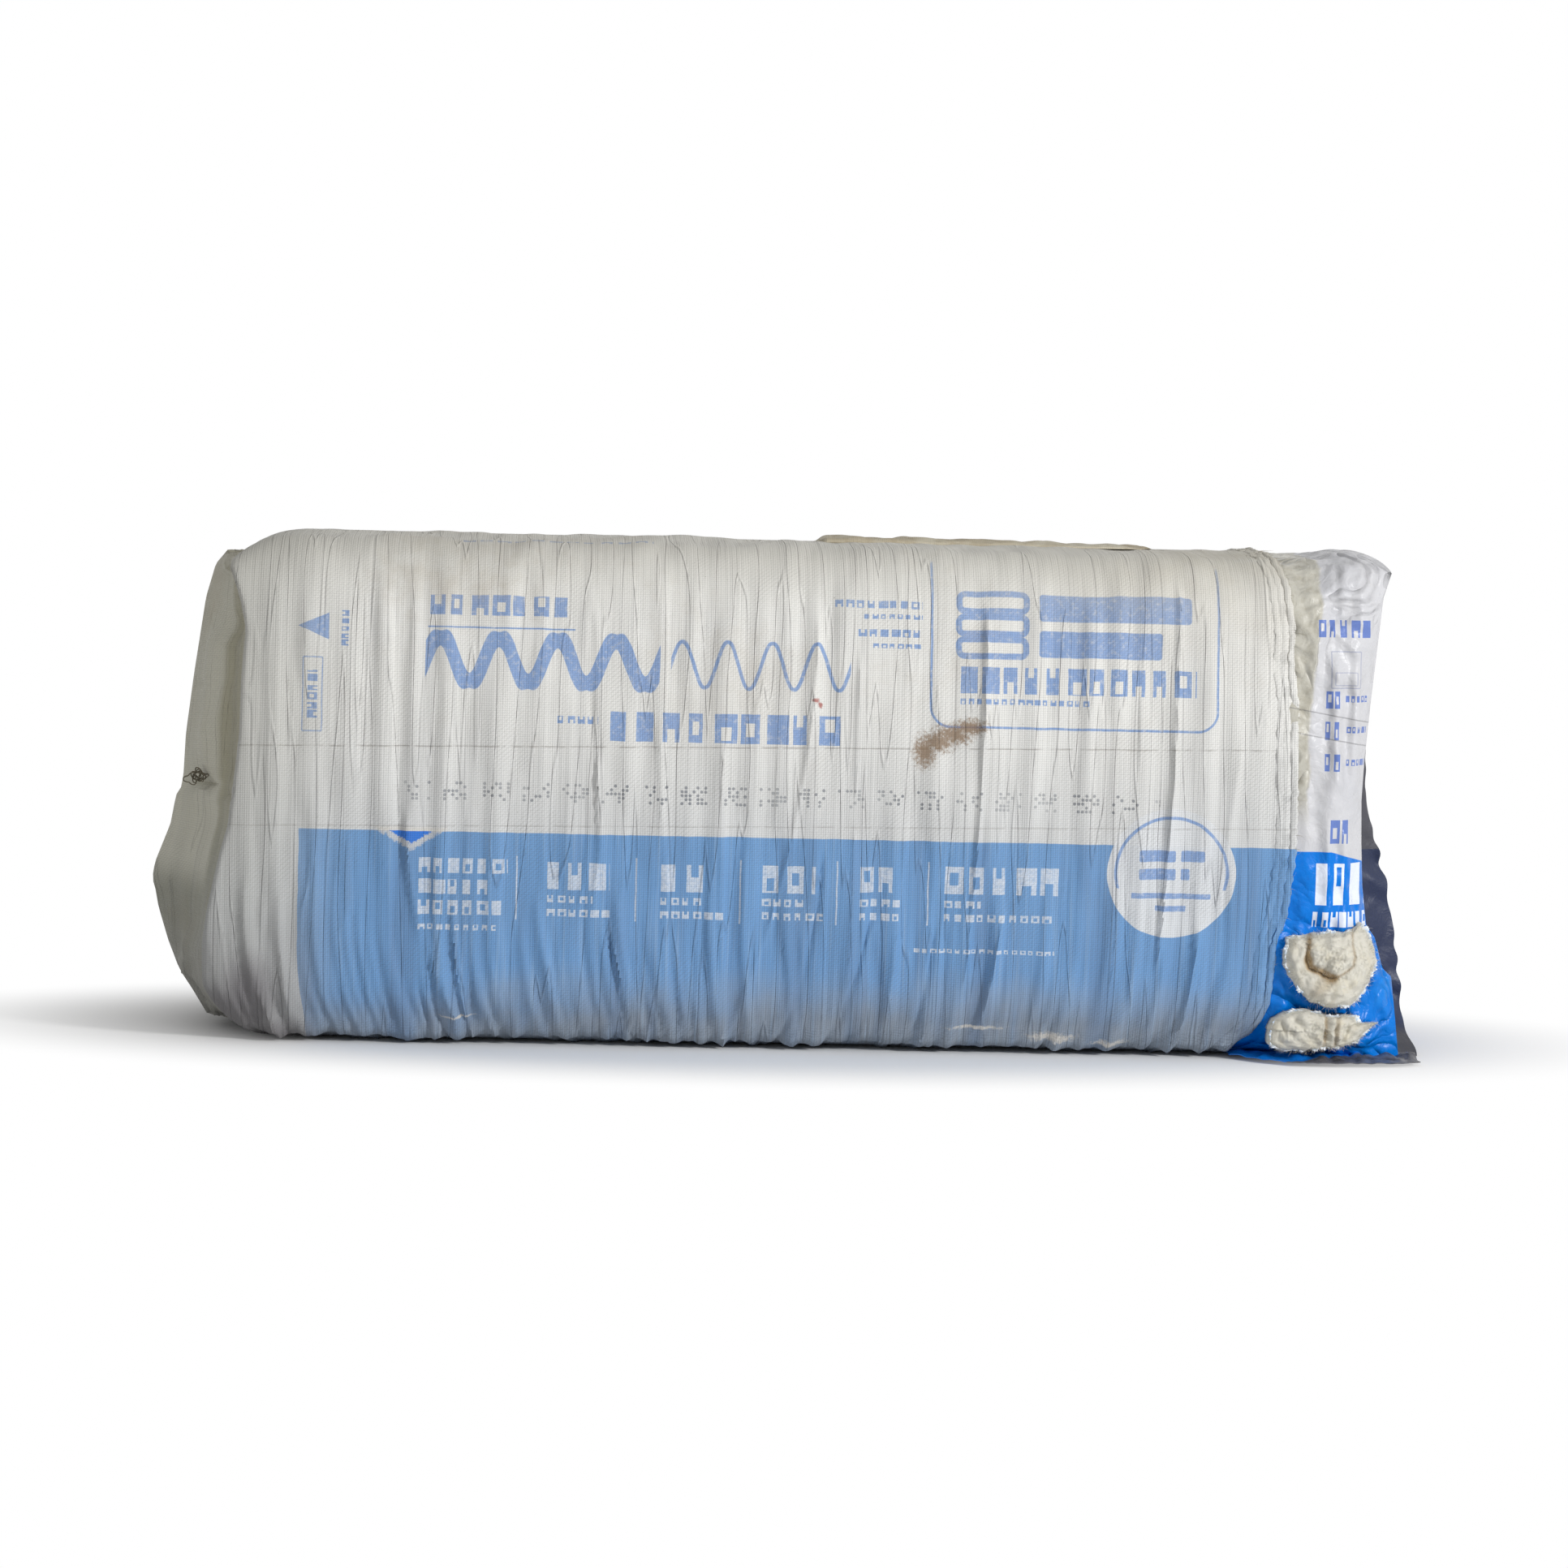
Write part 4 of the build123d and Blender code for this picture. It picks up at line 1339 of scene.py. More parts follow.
@node_group("Inked shape", "U, V, Middle U, Middle V, Half width, Half height, Corner, Line")
def inked_shape(u, v, middle_u, middle_v, half_width, half_height, corner, line):
    """A rounded box, filled or as a line: the distance to a box shrunk by its corner, less the
    corner, turned into a mask with a soft edge."""
    du = abs(u - middle_u)
    dv = abs(v - middle_v)
    qu = du - (half_width - corner)
    qv = dv - (half_height - corner)
    au, av = calc("MAXIMUM", qu, 0.0), calc("MAXIMUM", qv, 0.0)
    outer = calc("SQRT", au * au + av * av)
    inner = calc("MINIMUM", most(qu, qv), 0.0)
    distance = outer + inner - corner
    lined = line > 0.0
    shell = abs(distance) - line * 0.5
    gap = shell * lined + distance * (1.0 - lined)
    return (ramp(gap, 0.0005, -0.0005),)


def between(u, start, end):
    """1 where U is past the start and before the end."""
    return (u > start) * (u < end)


ROW_STEP = 977.1


def chance_of(column, row):
    """A random value that holds still within one cell: White Noise of one number, which is the column
    plus the row times a long step."""
    number = column + row * ROW_STEP
    chance = tree_of([number]).nodes.new("ShaderNodeTexWhiteNoise")
    chance.noise_dimensions = "1D"
    put(chance.inputs["W"], number)
    return Field(chance.outputs[0])


@node_group("Bar row", "U, V, Start, End, Level, Height, Pitch")
def bar_row(u, v, start, end, level, height, pitch):
    """A row of short blocks of uneven width: within each pitch a block fills a random share of it, and
    most have a hole at a random height."""
    step = (u - start) / pitch
    cell = calc("FLOOR", step)
    chance = chance_of(cell, level)
    share = 0.5 + chance * 0.38
    across = calc("FRACT", step) / share
    inner = across < 1.0
    along = (v - level) / height
    within = abs(along) < 0.5
    kind, place = (chance_of(cell + far, level) for far in (31.0, 67.0))
    hole = abs(across - 0.5) < 0.23
    set_off = (place - 0.5) * 0.8
    tall = abs(along - set_off) < 0.23
    cut = hole * tall * (kind > 0.25)
    inner = inner * (1.0 - cut)
    return (inner * within * between(u, start, end),)


@node_group("Waved line", "U, V, Start, End, Level, Swing, Pitch, Line")
def waved_line(u, v, start, end, level, swing, pitch, line):
    """A thick line that swings up and down as a sine of its place: the height above the sine, over
    the root of one plus its slope squared, is the distance to it."""
    turn = (u - start) / pitch * FULL_TURN
    wave = calc("SINE", turn) * swing
    off = abs(v - level - wave)
    steep = calc("COSINE", turn) * (swing / pitch * FULL_TURN)
    root = calc("SQRT", steep * steep + 1.0)
    gap = off / root - line * 0.5
    soft = ramp(gap, 0.0005, -0.0005)
    return (soft * between(u, start, end),)


@node_group("Dot row", "U, V, Start, End, Level, Pitch")
def dot_row(u, v, start, end, level, pitch):
    """Printed dots on a square pitch, each there or not by chance, in blocks of seven columns with
    three left bare."""
    across = (u - start) / pitch
    along = (v - level) / pitch
    column, row = calc("FLOOR", across), calc("FLOOR", along)
    chance = chance_of(column, row)
    there = chance > 0.62
    block = calc("FRACT", column / 10.0) < 0.68
    du = calc("FRACT", across) - 0.5
    dv = calc("FRACT", along) - 0.5
    off = calc("SQRT", du * du + dv * dv)
    dot = ramp(off, 0.46, 0.34)
    tall = abs(row - 2.0) < 2.5
    mask = there * block * (dot * tall)
    return (mask * between(u, start, end),)


@node_group("Crease bands", "Vector", "Bands, Lines, Hair")
def crease_bands(vector):
    """Light and dark upright bands of creased cloth: noise stretched along the height, and the thin
    lines where another such noise crosses its middle value."""
    bands = noise(vector, 1.0, 1.5, 0.5, stretch=(30.0, 1.5, 1.0))
    lines = noise(vector, 1.0, 1.0, 0.5, stretch=(44.0, 2.6, 1.0))
    off = abs(lines - 0.5)
    hair = noise(vector, 1.0, 2.0, 0.5, stretch=(240.0, 5.0, 1.0))
    return bands, ramp(off, 0.016, 0.0), hair


def start_material(name):
    """A new material with its tree and its Principled shader."""
    material = bpy.data.materials.new(name)
    material.use_nodes = True
    tree = material.node_tree
    return material, tree, tree.nodes["Principled BSDF"]


def dress(shader, **values):
    """Puts values into a node's inputs, each named with _ for the spaces."""
    for label, value in values.items():
        put(shader.inputs[label.replace("_", " ")], value)


def cloth_place(tree):
    """The cloth's own coordinates, in metres."""
    node = tree.nodes.new("ShaderNodeUVMap")
    node.uv_map = CLOTH_UV
    return Field(node.outputs[0])


def object_place(tree):
    """Object coordinates, in metres."""
    return Field(tree.nodes.new("ShaderNodeTexCoord").outputs["Object"])


def point_mark(tree, name):
    """The numbers that a piece keeps at its points under a name."""
    node = tree.nodes.new("ShaderNodeAttribute")
    node.attribute_name = name
    return Field(node.outputs["Fac"])


def seen_directly(tree):
    """1 for rays from the camera, off gloss or through glass, and 0 for the light on the pack."""
    path = tree.nodes.new("ShaderNodeLightPath").outputs
    return most(*(Field(path[f"Is {kind} Ray"]) for kind in ("Camera", "Glossy", "Transmission")))


def shapes(u, v, items):
    """The most of several inked shapes, each middle, half width, half height, corner and line."""
    return most(*[inked_shape(u, v, *item) for item in items])


def rows_of_bars(u, v, items):
    """The most of several rows of bars, each start, end, level, height and pitch."""
    return most(*[bar_row(u, v, *item) for item in items])


# The print. Shapes give middle, half sizes, corner and line; rows start, end, level, height and pitch
UPPER_SHAPES = [
    (0.3121, 0.472, 0.1576, 0.1086, 0.022, 0.0026), (-0.5187, 0.3841, 0.0105, 0.04, 0.001, 0.0012),
    (-0.315, 0.46, 0.08, 0.0009, 0.0005, 0.0), (0.221, 0.4995, 0.037, 0.0092, 0.006, 0.0066),
    (0.221, 0.475, 0.037, 0.0092, 0.006, 0.0066), (0.221, 0.4505, 0.037, 0.0092, 0.006, 0.0066),
    (0.356, 0.495, 0.084, 0.0145, 0.004, 0.0), (0.34, 0.4555, 0.068, 0.0145, 0.004, 0.0),
]
UPPER_WAVES = [(-0.397, -0.142, 0.425, 0.0225, 0.0637, 0.0165), (-0.13, 0.066, 0.425, 0.025, 0.049, 0.004)]
UPPER_ROWS = [
    (-0.393, -0.236, 0.484, 0.021, 0.0225), (-0.2525, -0.208, 0.362, 0.008, 0.011),
    (-0.195, 0.06, 0.356, 0.032, 0.0285), (0.0475, 0.144, 0.495, 0.008, 0.012),
    (0.08, 0.144, 0.482, 0.005, 0.009), (0.074, 0.144, 0.464, 0.008, 0.012), (0.09, 0.144, 0.45, 0.005, 0.009),
    (0.1868, 0.4466, 0.415, 0.029, 0.0235), (0.1868, 0.33, 0.3915, 0.006, 0.009),
    (-0.36, -0.15, 0.59, 0.014, 0.019),
]
BAND_LINES = ((-0.293, 0.178), (-0.163, 0.178), (-0.0493, 0.178), (0.0563, 0.179), (0.1568, 0.18))
BAND_WHITES = [(u, v, 0.0008, 0.035, 0.0005, 0.0) for u, v in BAND_LINES]
BAND_ROWS = [
    (-0.4, -0.303, 0.201, 0.016, 0.016), (-0.4, -0.32, 0.178, 0.016, 0.016),
    (-0.4, -0.308, 0.155, 0.016, 0.016), (-0.4, -0.315, 0.133, 0.006, 0.01),
    (-0.26, -0.192, 0.1915, 0.03, 0.0225), (-0.26, -0.21, 0.166, 0.008, 0.012),
    (-0.26, -0.19, 0.151, 0.008, 0.012), (-0.136, -0.08, 0.1915, 0.03, 0.028),
    (-0.136, -0.09, 0.166, 0.008, 0.012), (-0.136, -0.065, 0.151, 0.008, 0.012),
    (-0.025, 0.033, 0.1925, 0.03, 0.027), (-0.025, 0.02, 0.167, 0.008, 0.012),
    (-0.025, 0.042, 0.152, 0.008, 0.012), (0.082, 0.12, 0.1945, 0.028, 0.02),
    (0.082, 0.126, 0.169, 0.008, 0.012), (0.082, 0.126, 0.154, 0.008, 0.012),
    (0.175, 0.306, 0.1955, 0.03, 0.0262), (0.175, 0.215, 0.169, 0.008, 0.012),
    (0.175, 0.295, 0.154, 0.008, 0.012), (0.143, 0.298, 0.117, 0.0045, 0.009),
]
DISC_SHAPES = [
    (0.408, 0.227, 0.02, 0.0062, 0.002, 0.0), (0.408, 0.207, 0.02, 0.0062, 0.002, 0.0),
    (0.447, 0.227, 0.013, 0.0062, 0.002, 0.0), (0.439, 0.207, 0.005, 0.0062, 0.002, 0.0),
    (0.4238, 0.183, 0.044, 0.003, 0.001, 0.0), (0.4238, 0.169, 0.017, 0.003, 0.001, 0.0),
]


# Soft blots on the cloth, each middle and half sizes
STAIN = [
    (0.149, 0.336, 0.02, 0.03), (0.163, 0.347, 0.03, 0.02), (0.18, 0.355, 0.034, 0.019),
    (0.198, 0.363, 0.03, 0.015),
]
RUBS = [
    (-0.355, 0.033, 0.03, 0.0025), (0.215, 0.029, 0.045, 0.004), (0.3, 0.02, 0.04, 0.007),
    (0.365, 0.014, 0.03, 0.006),
]
RUST = [(0.029, 0.389, 0.006, 0.004), (0.034, 0.384, 0.004, 0.005)]
# Painted shade at the front's lower left corner, as soft blots
LOWER_LEFT_SHADE = [(-0.584, 0.045, 0.045, 0.07), (-0.61, 0.03, 0.07, 0.05), (-0.555, 0.0, 0.06, 0.04)]


def spots(u, v, items):
    """Soft oval blots, the most of one less the distance from each middle, each axis over its half
    size."""
    masks = []
    for middle_u, middle_v, half_u, half_v in items:
        du = (u - middle_u) / half_u
        dv = (v - middle_v) / half_v
        off = calc("SQRT", du * du + dv * dv)
        masks.append(calc("MAXIMUM", 1.0 - off, 0.0))
    return most(*masks)


def blot(base, mask, speckle, amount, tint):
    """Lays a stain on a colour where its mask plus a speckle of noise passes one."""
    both = mask * 0.9 + speckle * 1.8
    amount = ramp(both, 1.02, 1.6) * amount
    amount = amount * ramp(mask, 0.0, 0.25)
    return mix(amount, base, paint(*tint))


def thread_line(base, u, v, place, level, amount):
    """A thin dark broken line across the cloth at a level, a little lower to the right."""
    gap = abs(v + u * -0.016 - level)
    broken = ramp(noise(place, 60.0, 3.0), 0.36, 0.56, 0.1, 1.0)
    line = ramp(gap, 0.0013, 0.0003) * (broken * amount)
    return mix(line, base, paint(96, 84, 74))


def worn_ink(place):
    """How much ink is left on the cloth, by fine noise."""
    return ramp(noise(place, 160.0, 4.0, 0.7), 0.3, 0.52, 0.55, 0.92)


def upper_print(base, u, v, place, colours):
    """Blue ink over the cloth's upper part: the waves, frames, slabs and rows of blocks."""
    ink = most(shapes(u, v, UPPER_SHAPES), rows_of_bars(u, v, UPPER_ROWS))
    ink = ink * most(ramp(v, 0.556, 0.548), ramp(u, 0.1, 0.09))
    for wave in UPPER_WAVES:
        ink = most(ink, waved_line(u, v, *wave))
    arrow = (u + 0.5362) * 0.44 - abs(v - 0.458)
    arrow = ramp(arrow, 0.0, 0.0008) * (u < -0.502)
    upright = rows_of_bars(v, u, [(0.358, 0.41, -0.5187, 0.011, 0.01), (0.437, 0.477, -0.4845, 0.008, 0.008)])
    ink = most(ink, most(arrow, upright))
    base = mix(ink * worn_ink(place), base, colours.ink[:])
    return thread_line(base, u, v, place, 0.3365, 0.41)


def band_print(base, u, v, place, colours, creased, patchy, speckle):
    """The blue band with its white blocks, the roundel, the row of dots above it and the notch torn
    at its top edge."""
    dots = dot_row(u, v, -0.4182, 0.4097, 0.2715, 0.0043)
    faded = ramp(patchy, 0.35, 0.6, 0.35, 0.85)
    base = mix(dots * faded, base, paint(118, 122, 128))

    below = ramp(v, 0.2384, 0.2374)
    within = ramp(u + ramp(v, 0.1, 0.0) * -0.01, -0.5312, -0.5302)
    band = below * within
    # The band greys towards the floor, along a border made uneven by noise
    greying_level = v + (patchy - 0.5) * 0.09
    low = ramp(greying_level - ramp(u, -0.45, -0.2) * 0.03, 0.075, -0.01)
    band_colour = mix(low, colours.band[:], colours.band_low[:])
    bands, _, hair = creased
    # Painted highlights on the crease ridges as pale streaks, and painted shade in the folds as darker bands
    ridge_highlight = ramp(hair, 0.52, 0.74, 0.0, 0.34)
    band_colour = mix(ridge_highlight, band_colour, paint(150, 176, 204))
    band_colour = mix(ramp(bands, 0.54, 0.32, 0.0, 0.32), band_colour, paint(66, 112, 160))
    base = mix(band * 0.95, base, band_colour)
    white = most(shapes(u, v, BAND_WHITES), rows_of_bars(u, v, BAND_ROWS))
    whiteness = white * ramp(speckle, 0.35, 0.6, 0.5, 0.85)
    base = mix(whiteness, base, paint(206, 212, 220))
    disc = shapes(u, v, [(0.4238, 0.2075, 0.071, 0.071, 0.071, 0.0)])
    base = mix(disc * 0.96, base, paint(206, 208, 210))
    ring = shapes(u, v, [(0.4238, 0.2075, 0.0615, 0.0615, 0.0615, 0.0034)])
    ring = ring * ramp(v, 0.19, 0.191)
    ring = most(ring, shapes(u, v, DISC_SHAPES))
    base = mix(ring * worn_ink(place) * disc, base, colours.ink[:])

    notch = (v - 0.2165) * 1.6
    notch = notch - abs(u + 0.409)
    notch = notch + (speckle - 0.5) * 0.03
    open_cut = ramp(notch, 0.01, 0.013) * below
    open_cut = open_cut * ramp(v, 0.222, 0.226)
    lip = ramp(notch, -0.003, 0.003) * (1.0 - open_cut)
    lip = lip * ramp(v, 0.244, 0.24)
    base = mix(lip * 0.7, base, paint(206, 202, 194))
    base = mix(open_cut * 0.92, base, paint(20, 108, 206))
    return thread_line(base, u, v, place, 0.25, 0.26)


def printed_cloth(colours, name):
    """The woven bag's cloth with its weave, creases, dirt and end panels, and the print of its part:
    the upper print, the band's print or none. Its colour also holds painted shade in the creases,
    at the front's left and on the folded end, and painted highlights on the band's creases."""
    material, tree, shader = start_material(name)
    place, spot = cloth_place(tree), object_place(tree)
    flat_u, flat_v, _ = split(place)
    wander = (noise(place, 30.0, 2.0) - 0.5) * 0.0022
    u, v = flat_u + wander, flat_v + wander
    panel = point_mark(tree, "folded_end")
    weave_height, weave_gap = tape_weave(place, 0.0025)
    bands, lines, hair = creased = crease_bands(place)
    front = (v < FRONT_TOP) * (1.0 - panel)
    twill = calc("SINE", (u * 0.85 - v) * 1180.0)
    patchy = noise(place, 9.0, 3.0, 0.6)
    speckle = noise(place, 240.0, 5.0, 0.75)

    base = mix(ramp(v, 0.42, 0.06), colours.cloth[:], colours.cloth_low[:])
    if name == "upper printed cloth":
        base = upper_print(base, u, v, place, colours)
    if name == "band printed cloth":
        base = band_print(base, u, v, place, colours, creased, patchy, speckle)
    # The folded end's colour: painted shade, darker towards the floor, with dirt blotches
    end_colour_and_shade = mix(ramp(v, 0.3, 0.16), colours.end_cloth_and_shade[:], paint(154, 154, 141))
    end_colour_and_shade = mix(ramp(noise(place, 14.0, 4.0, 0.65), 0.4, 0.7, 0.0, 0.45), end_colour_and_shade, paint(150, 146, 126))
    # Painted highlight: a lighter strip along the fold's ridge, above the foot
    light = ramp(flat_u, -0.668, -0.69) * ramp(v, 0.15, 0.2)
    end_colour_and_shade = mix(light * 0.75, end_colour_and_shade, paint(216, 214, 200))
    base = mix(panel, base, end_colour_and_shade)

    base = mix(weave_gap * 0.34, base, paint(96, 98, 98))
    diagonal = ramp(twill, 0.1, 1.0, 0.0, 0.13) * ramp(patchy, 0.36, 0.62)
    base = mix(diagonal, base, paint(96, 92, 82))
    # Painted shade in the creases: darker upright bands, streaks and thin lines, from the same noise as the
    # creases' bump
    base = mix(ramp(bands, 0.5, 0.3, 0.0, 0.14), base, paint(104, 106, 112))
    base = mix(ramp(hair, 0.46, 0.28, 0.0, 0.1), base, paint(92, 94, 100))
    crease_line_shade = lines * ramp(v, 0.4, 0.15, 0.03, 0.16)
    base = mix(crease_line_shade, base, paint(84, 86, 92))

    dirt = yard_dirt(spot, 0.56)
    high = ramp(v, 0.26, 0.58, 0.1, 0.9)
    base = mix(dirt * (high * 0.42), base, colours.grime[:])
    right = ramp(u, 0.18, 0.56) * ramp(v, 0.4, 0.57)
    base = mix(right * ramp(patchy, 0.3, 0.7, 0.15, 0.55), base, paint(164, 154, 132))
    top = ramp(v, 0.46, 0.58, 0.0, 0.42)
    base = mix(top, base, paint(182, 178, 163))
    # Painted shade where the front turns towards the folded end
    corner = ramp(u, -0.45, -0.6) * (1.0 - panel)
    base = mix(corner * 0.45, base, paint(146, 145, 136))
    base = blot(base, spots(u, v, STAIN) * front, speckle, 0.85, (122, 98, 72))
    base = blot(base, spots(u, v, RUST) * front, speckle, 0.8, (150, 62, 50))
    x, _, z = split(spot)
    # Painted shade: dark grey at the front's lower left corner
    lower_left_shade = ramp(spots(x, z, LOWER_LEFT_SHADE), 0.0, 0.8, 0.0, 0.85) * front
    base = mix(lower_left_shade, base, paint(84, 80, 86))
    # Painted shade: greyer towards the floor near the folded end
    low_end_shade = ramp(z, 0.2, 0.02) * ramp(x, -0.48, -0.56)
    base = mix(low_end_shade * 0.55, base, paint(126, 124, 124))
    base = blot(base, spots(u, v, RUBS) * front, speckle, 0.75, (206, 200, 190))
    specks = noise(place, 420.0, 2.0, 0.5) > 0.735
    base = mix(specks * 0.5, base, paint(96, 84, 74))
    relief = lines * 0.5 + hair * 0.5 + bands
    normal = bump(weave_height, 0.45, 0.0006, bump(relief, 0.7, 0.0026))
    rough = ramp(hair, 0.2, 0.8, 0.5, 0.68)
    dress(shader, Base_Color=base, Roughness=rough, Normal=normal, Specular_IOR_Level=0.22)
    return material


def plain_cloth(colours):
    """Unprinted woven cloth for the lap and the frayed threads, dirty with khaki dust."""
    material = bpy.data.materials.get("plain woven cloth")
    if material:
        return material
    material, tree, shader = start_material("plain woven cloth")
    place, spot = cloth_place(tree), object_place(tree)
    weave_height, weave_gap = tape_weave(place, 0.0022)
    dirt = yard_dirt(spot, 0.75)
    base = mix(weave_gap * 0.35, paint(190, 184, 166), paint(120, 112, 96))
    base = mix(dirt * 0.55, base, colours.grime[:])
    drape = noise(place, 1.0, 4.0, 0.6, stretch=(60.0, 90.0, 1.0))
    normal = bump(weave_height, 0.5, 0.0006, bump(drape, 0.5, 0.002))
    rough = ramp(dirt, 0.0, 1.0, 0.55, 0.85)
    dress(shader, Base_Color=base, Roughness=rough, Normal=normal, Specular_IOR_Level=0.3)
    return material


def thread_finish():
    """Dark grubby thread, twisted: fine stripes of noise along it."""
    material, tree, shader = start_material("grubby thread")
    spot = object_place(tree)
    twist = noise(spot, 900.0, 4.0, 0.7)
    base = mix(ramp(twist, 0.35, 0.7), paint(78, 72, 60), paint(132, 124, 104))
    dress(shader, Base_Color=base, Roughness=ramp(twist, 0.3, 0.7, 0.7, 0.95), Normal=bump(twist, 0.6, 0.0004))
    return material


FILM_ROWS = [
    (0.58, 0.64, 0.48, 0.019, 0.0125), (0.59, 0.607, 0.402, 0.019, 0.009), (0.613, 0.64, 0.403, 0.007, 0.006),
    (0.59, 0.609, 0.368, 0.02, 0.0095), (0.615, 0.64, 0.369, 0.007, 0.006),
    (0.59, 0.609, 0.333, 0.019, 0.0095), (0.615, 0.64, 0.333, 0.007, 0.006),
    (0.598, 0.626, 0.257, 0.026, 0.014),
]


FILM_BOXES = [(0.612, 0.435, 0.017, 0.02, 0.001, 0.001), (0.612, 0.425, 0.013, 0.007, 0.001, 0.0008)]


def film_finish(colours):
    """The white film with its bright blue band, scuffs, dust and small buckles."""
    material, tree, shader = start_material("bag film")
    place, spot = cloth_place(tree), object_place(tree)
    u = split(place)[0]
    x, y, z = split(spot)
    facing = ramp(y, -0.199, -0.201)
    level = z + calc("MAXIMUM", x - 0.6, 0.0) * 0.28
    below = ramp(level, 0.2352, 0.2342)
    scuff = noise(spot, 70.0, 6.0, 0.7)
    cloudy = noise(spot, 16.0, 4.0, 0.6)
    white = mix(ramp(scuff, 0.45, 0.8, 0.0, 0.3), colours.film[:], paint(186, 184, 182))
    white = mix(ramp(cloudy, 0.42, 0.65, 0.0, 0.25), white, paint(176, 178, 184))
    slope = x - (0.5705 + ramp(z, 0.36, 0.56) * 0.016)
    slope = slope + (cloudy - 0.5) * 0.022
    dusty = ramp(slope, 0.0035, -0.0015) * ramp(z, 0.25, 0.31)
    dust_colour = mix(ramp(scuff, 0.4, 0.7), paint(182, 179, 166), paint(164, 159, 142))
    white = mix(dusty * 0.85, white, dust_colour)
    blue = mix(ramp(scuff, 0.5, 0.8, 0.0, 0.45), colours.film_band[:], paint(0, 74, 160))
    blue = mix(ramp(cloudy, 0.55, 0.75, 0.0, 0.3), blue, paint(70, 160, 226))
    base = mix(below, white, blue)
    inks = rows_of_bars(u, z, FILM_ROWS) * facing
    boxes = shapes(x + (1.0 - facing), z, FILM_BOXES)
    base = mix(inks * 0.8, base, paint(44, 92, 176))
    base = mix(boxes * 0.6, base, paint(120, 128, 160))
    bright = rows_of_bars(u, z, [(0.584, 0.65, 0.199, 0.046, 0.02), (0.582, 0.65, 0.16, 0.017, 0.01)])
    bright = bright * facing
    base = mix(bright * 0.88, base, paint(226, 230, 236))
    tilt = z + (x - 0.5707) * 0.17
    for height in (0.3893, 0.363):
        gap = abs(tilt - height)
        base = mix(ramp(gap, 0.001, 0.0004, 0.0, 0.55), base, paint(110, 110, 112))
    dirt = yard_dirt(spot, 0.42)
    base = mix(dirt * 0.22, base, colours.grime[:])
    buckles = noise(spot, 60.0, 3.0, 0.5, bend=2.5)
    crumpled = most(ramp(z, 0.42, 0.52, 0.3, 0.9), most(dusty, ramp(z, 0.2, 0.12)))
    sharp = abs(noise(spot, 17.0, 1.5, 0.5, bend=1.2) - 0.5)
    sharp = sharp * crumpled
    normal = bump(sharp, 0.9, 0.026, bump(buckles, 0.25, 0.004))
    rough = ramp(scuff, 0.3, 0.8, 0.26, 0.44)
    dress(shader, Base_Color=base, Roughness=rough, Normal=normal, Specular_IOR_Level=0.18)
    return material


def shaded_film_finish(colours):
    """The film's turned-back side in painted shade: its white painted dark grey above, its blue band painted
    navy.
    """
    material, tree, shader = start_material("turned-back film in painted shade")
    spot = object_place(tree)
    z = split(spot)[2]
    scuff = noise(spot, 60.0, 6.0, 0.7)
    base = mix(ramp(z, 0.2302, 0.2292), colours.film_shaded_grey[:], colours.film_shaded_navy[:])
    # Painted shade: darker still near the floor
    base = mix(ramp(z, 0.036, 0.02), base, paint(50, 50, 56))
    base = mix(ramp(scuff, 0.5, 0.85, 0.0, 0.5), base, paint(24, 30, 44))
    normal = bump(noise(spot, 40.0, 5.0, 0.6, bend=0.5), 0.5, 0.004)
    rough = ramp(scuff, 0.3, 0.8, 0.35, 0.6)
    dress(shader, Base_Color=base, Roughness=rough, Normal=normal)
    return material


def foot_film(colours):
    """The film where it lies on the floor: blue towards the bag, and dark grey out at its loose corner, which
    is painted shade.
    """
    material, tree, shader = start_material("film on the floor")
    spot = object_place(tree)
    x, y, _ = split(spot)
    scuff = noise(spot, 60.0, 6.0, 0.7)
    blue = mix(ramp(scuff, 0.45, 0.8, 0.0, 0.5), colours.film_band[:], paint(0, 66, 146))
    border = x - (y + 0.24) * 1.6
    # Painted shade: dark grey at the loose corner on the floor
    grey = mix(ramp(scuff, 0.4, 0.7), paint(92, 92, 98), paint(40, 40, 46))
    base = mix(ramp(border, 0.585, 0.592), blue, grey)
    normal = bump(noise(spot, 50.0, 5.0, 0.6, bend=0.5), 0.5, 0.003)
    rough = ramp(scuff, 0.3, 0.8, 0.35, 0.6)
    dress(shader, Base_Color=base, Roughness=rough, Normal=normal)
    return material


def torn_film():
    """The film's torn rim, stretched white: fine noise between white and pale blue."""
    material = bpy.data.materials.get("torn film")
    if material:
        return material
    material, tree, shader = start_material("torn film")
    spot = object_place(tree)
    ragged_noise = noise(spot, 300.0, 5.0, 0.7)
    base = mix(ramp(ragged_noise, 0.4, 0.72), paint(236, 238, 240), paint(168, 200, 232))
    normal = bump(ragged_noise, 0.5, 0.001)
    rough = ramp(ragged_noise, 0.3, 0.7, 0.45, 0.7)
    dress(shader, Base_Color=base, Roughness=rough, Normal=normal)
    return material


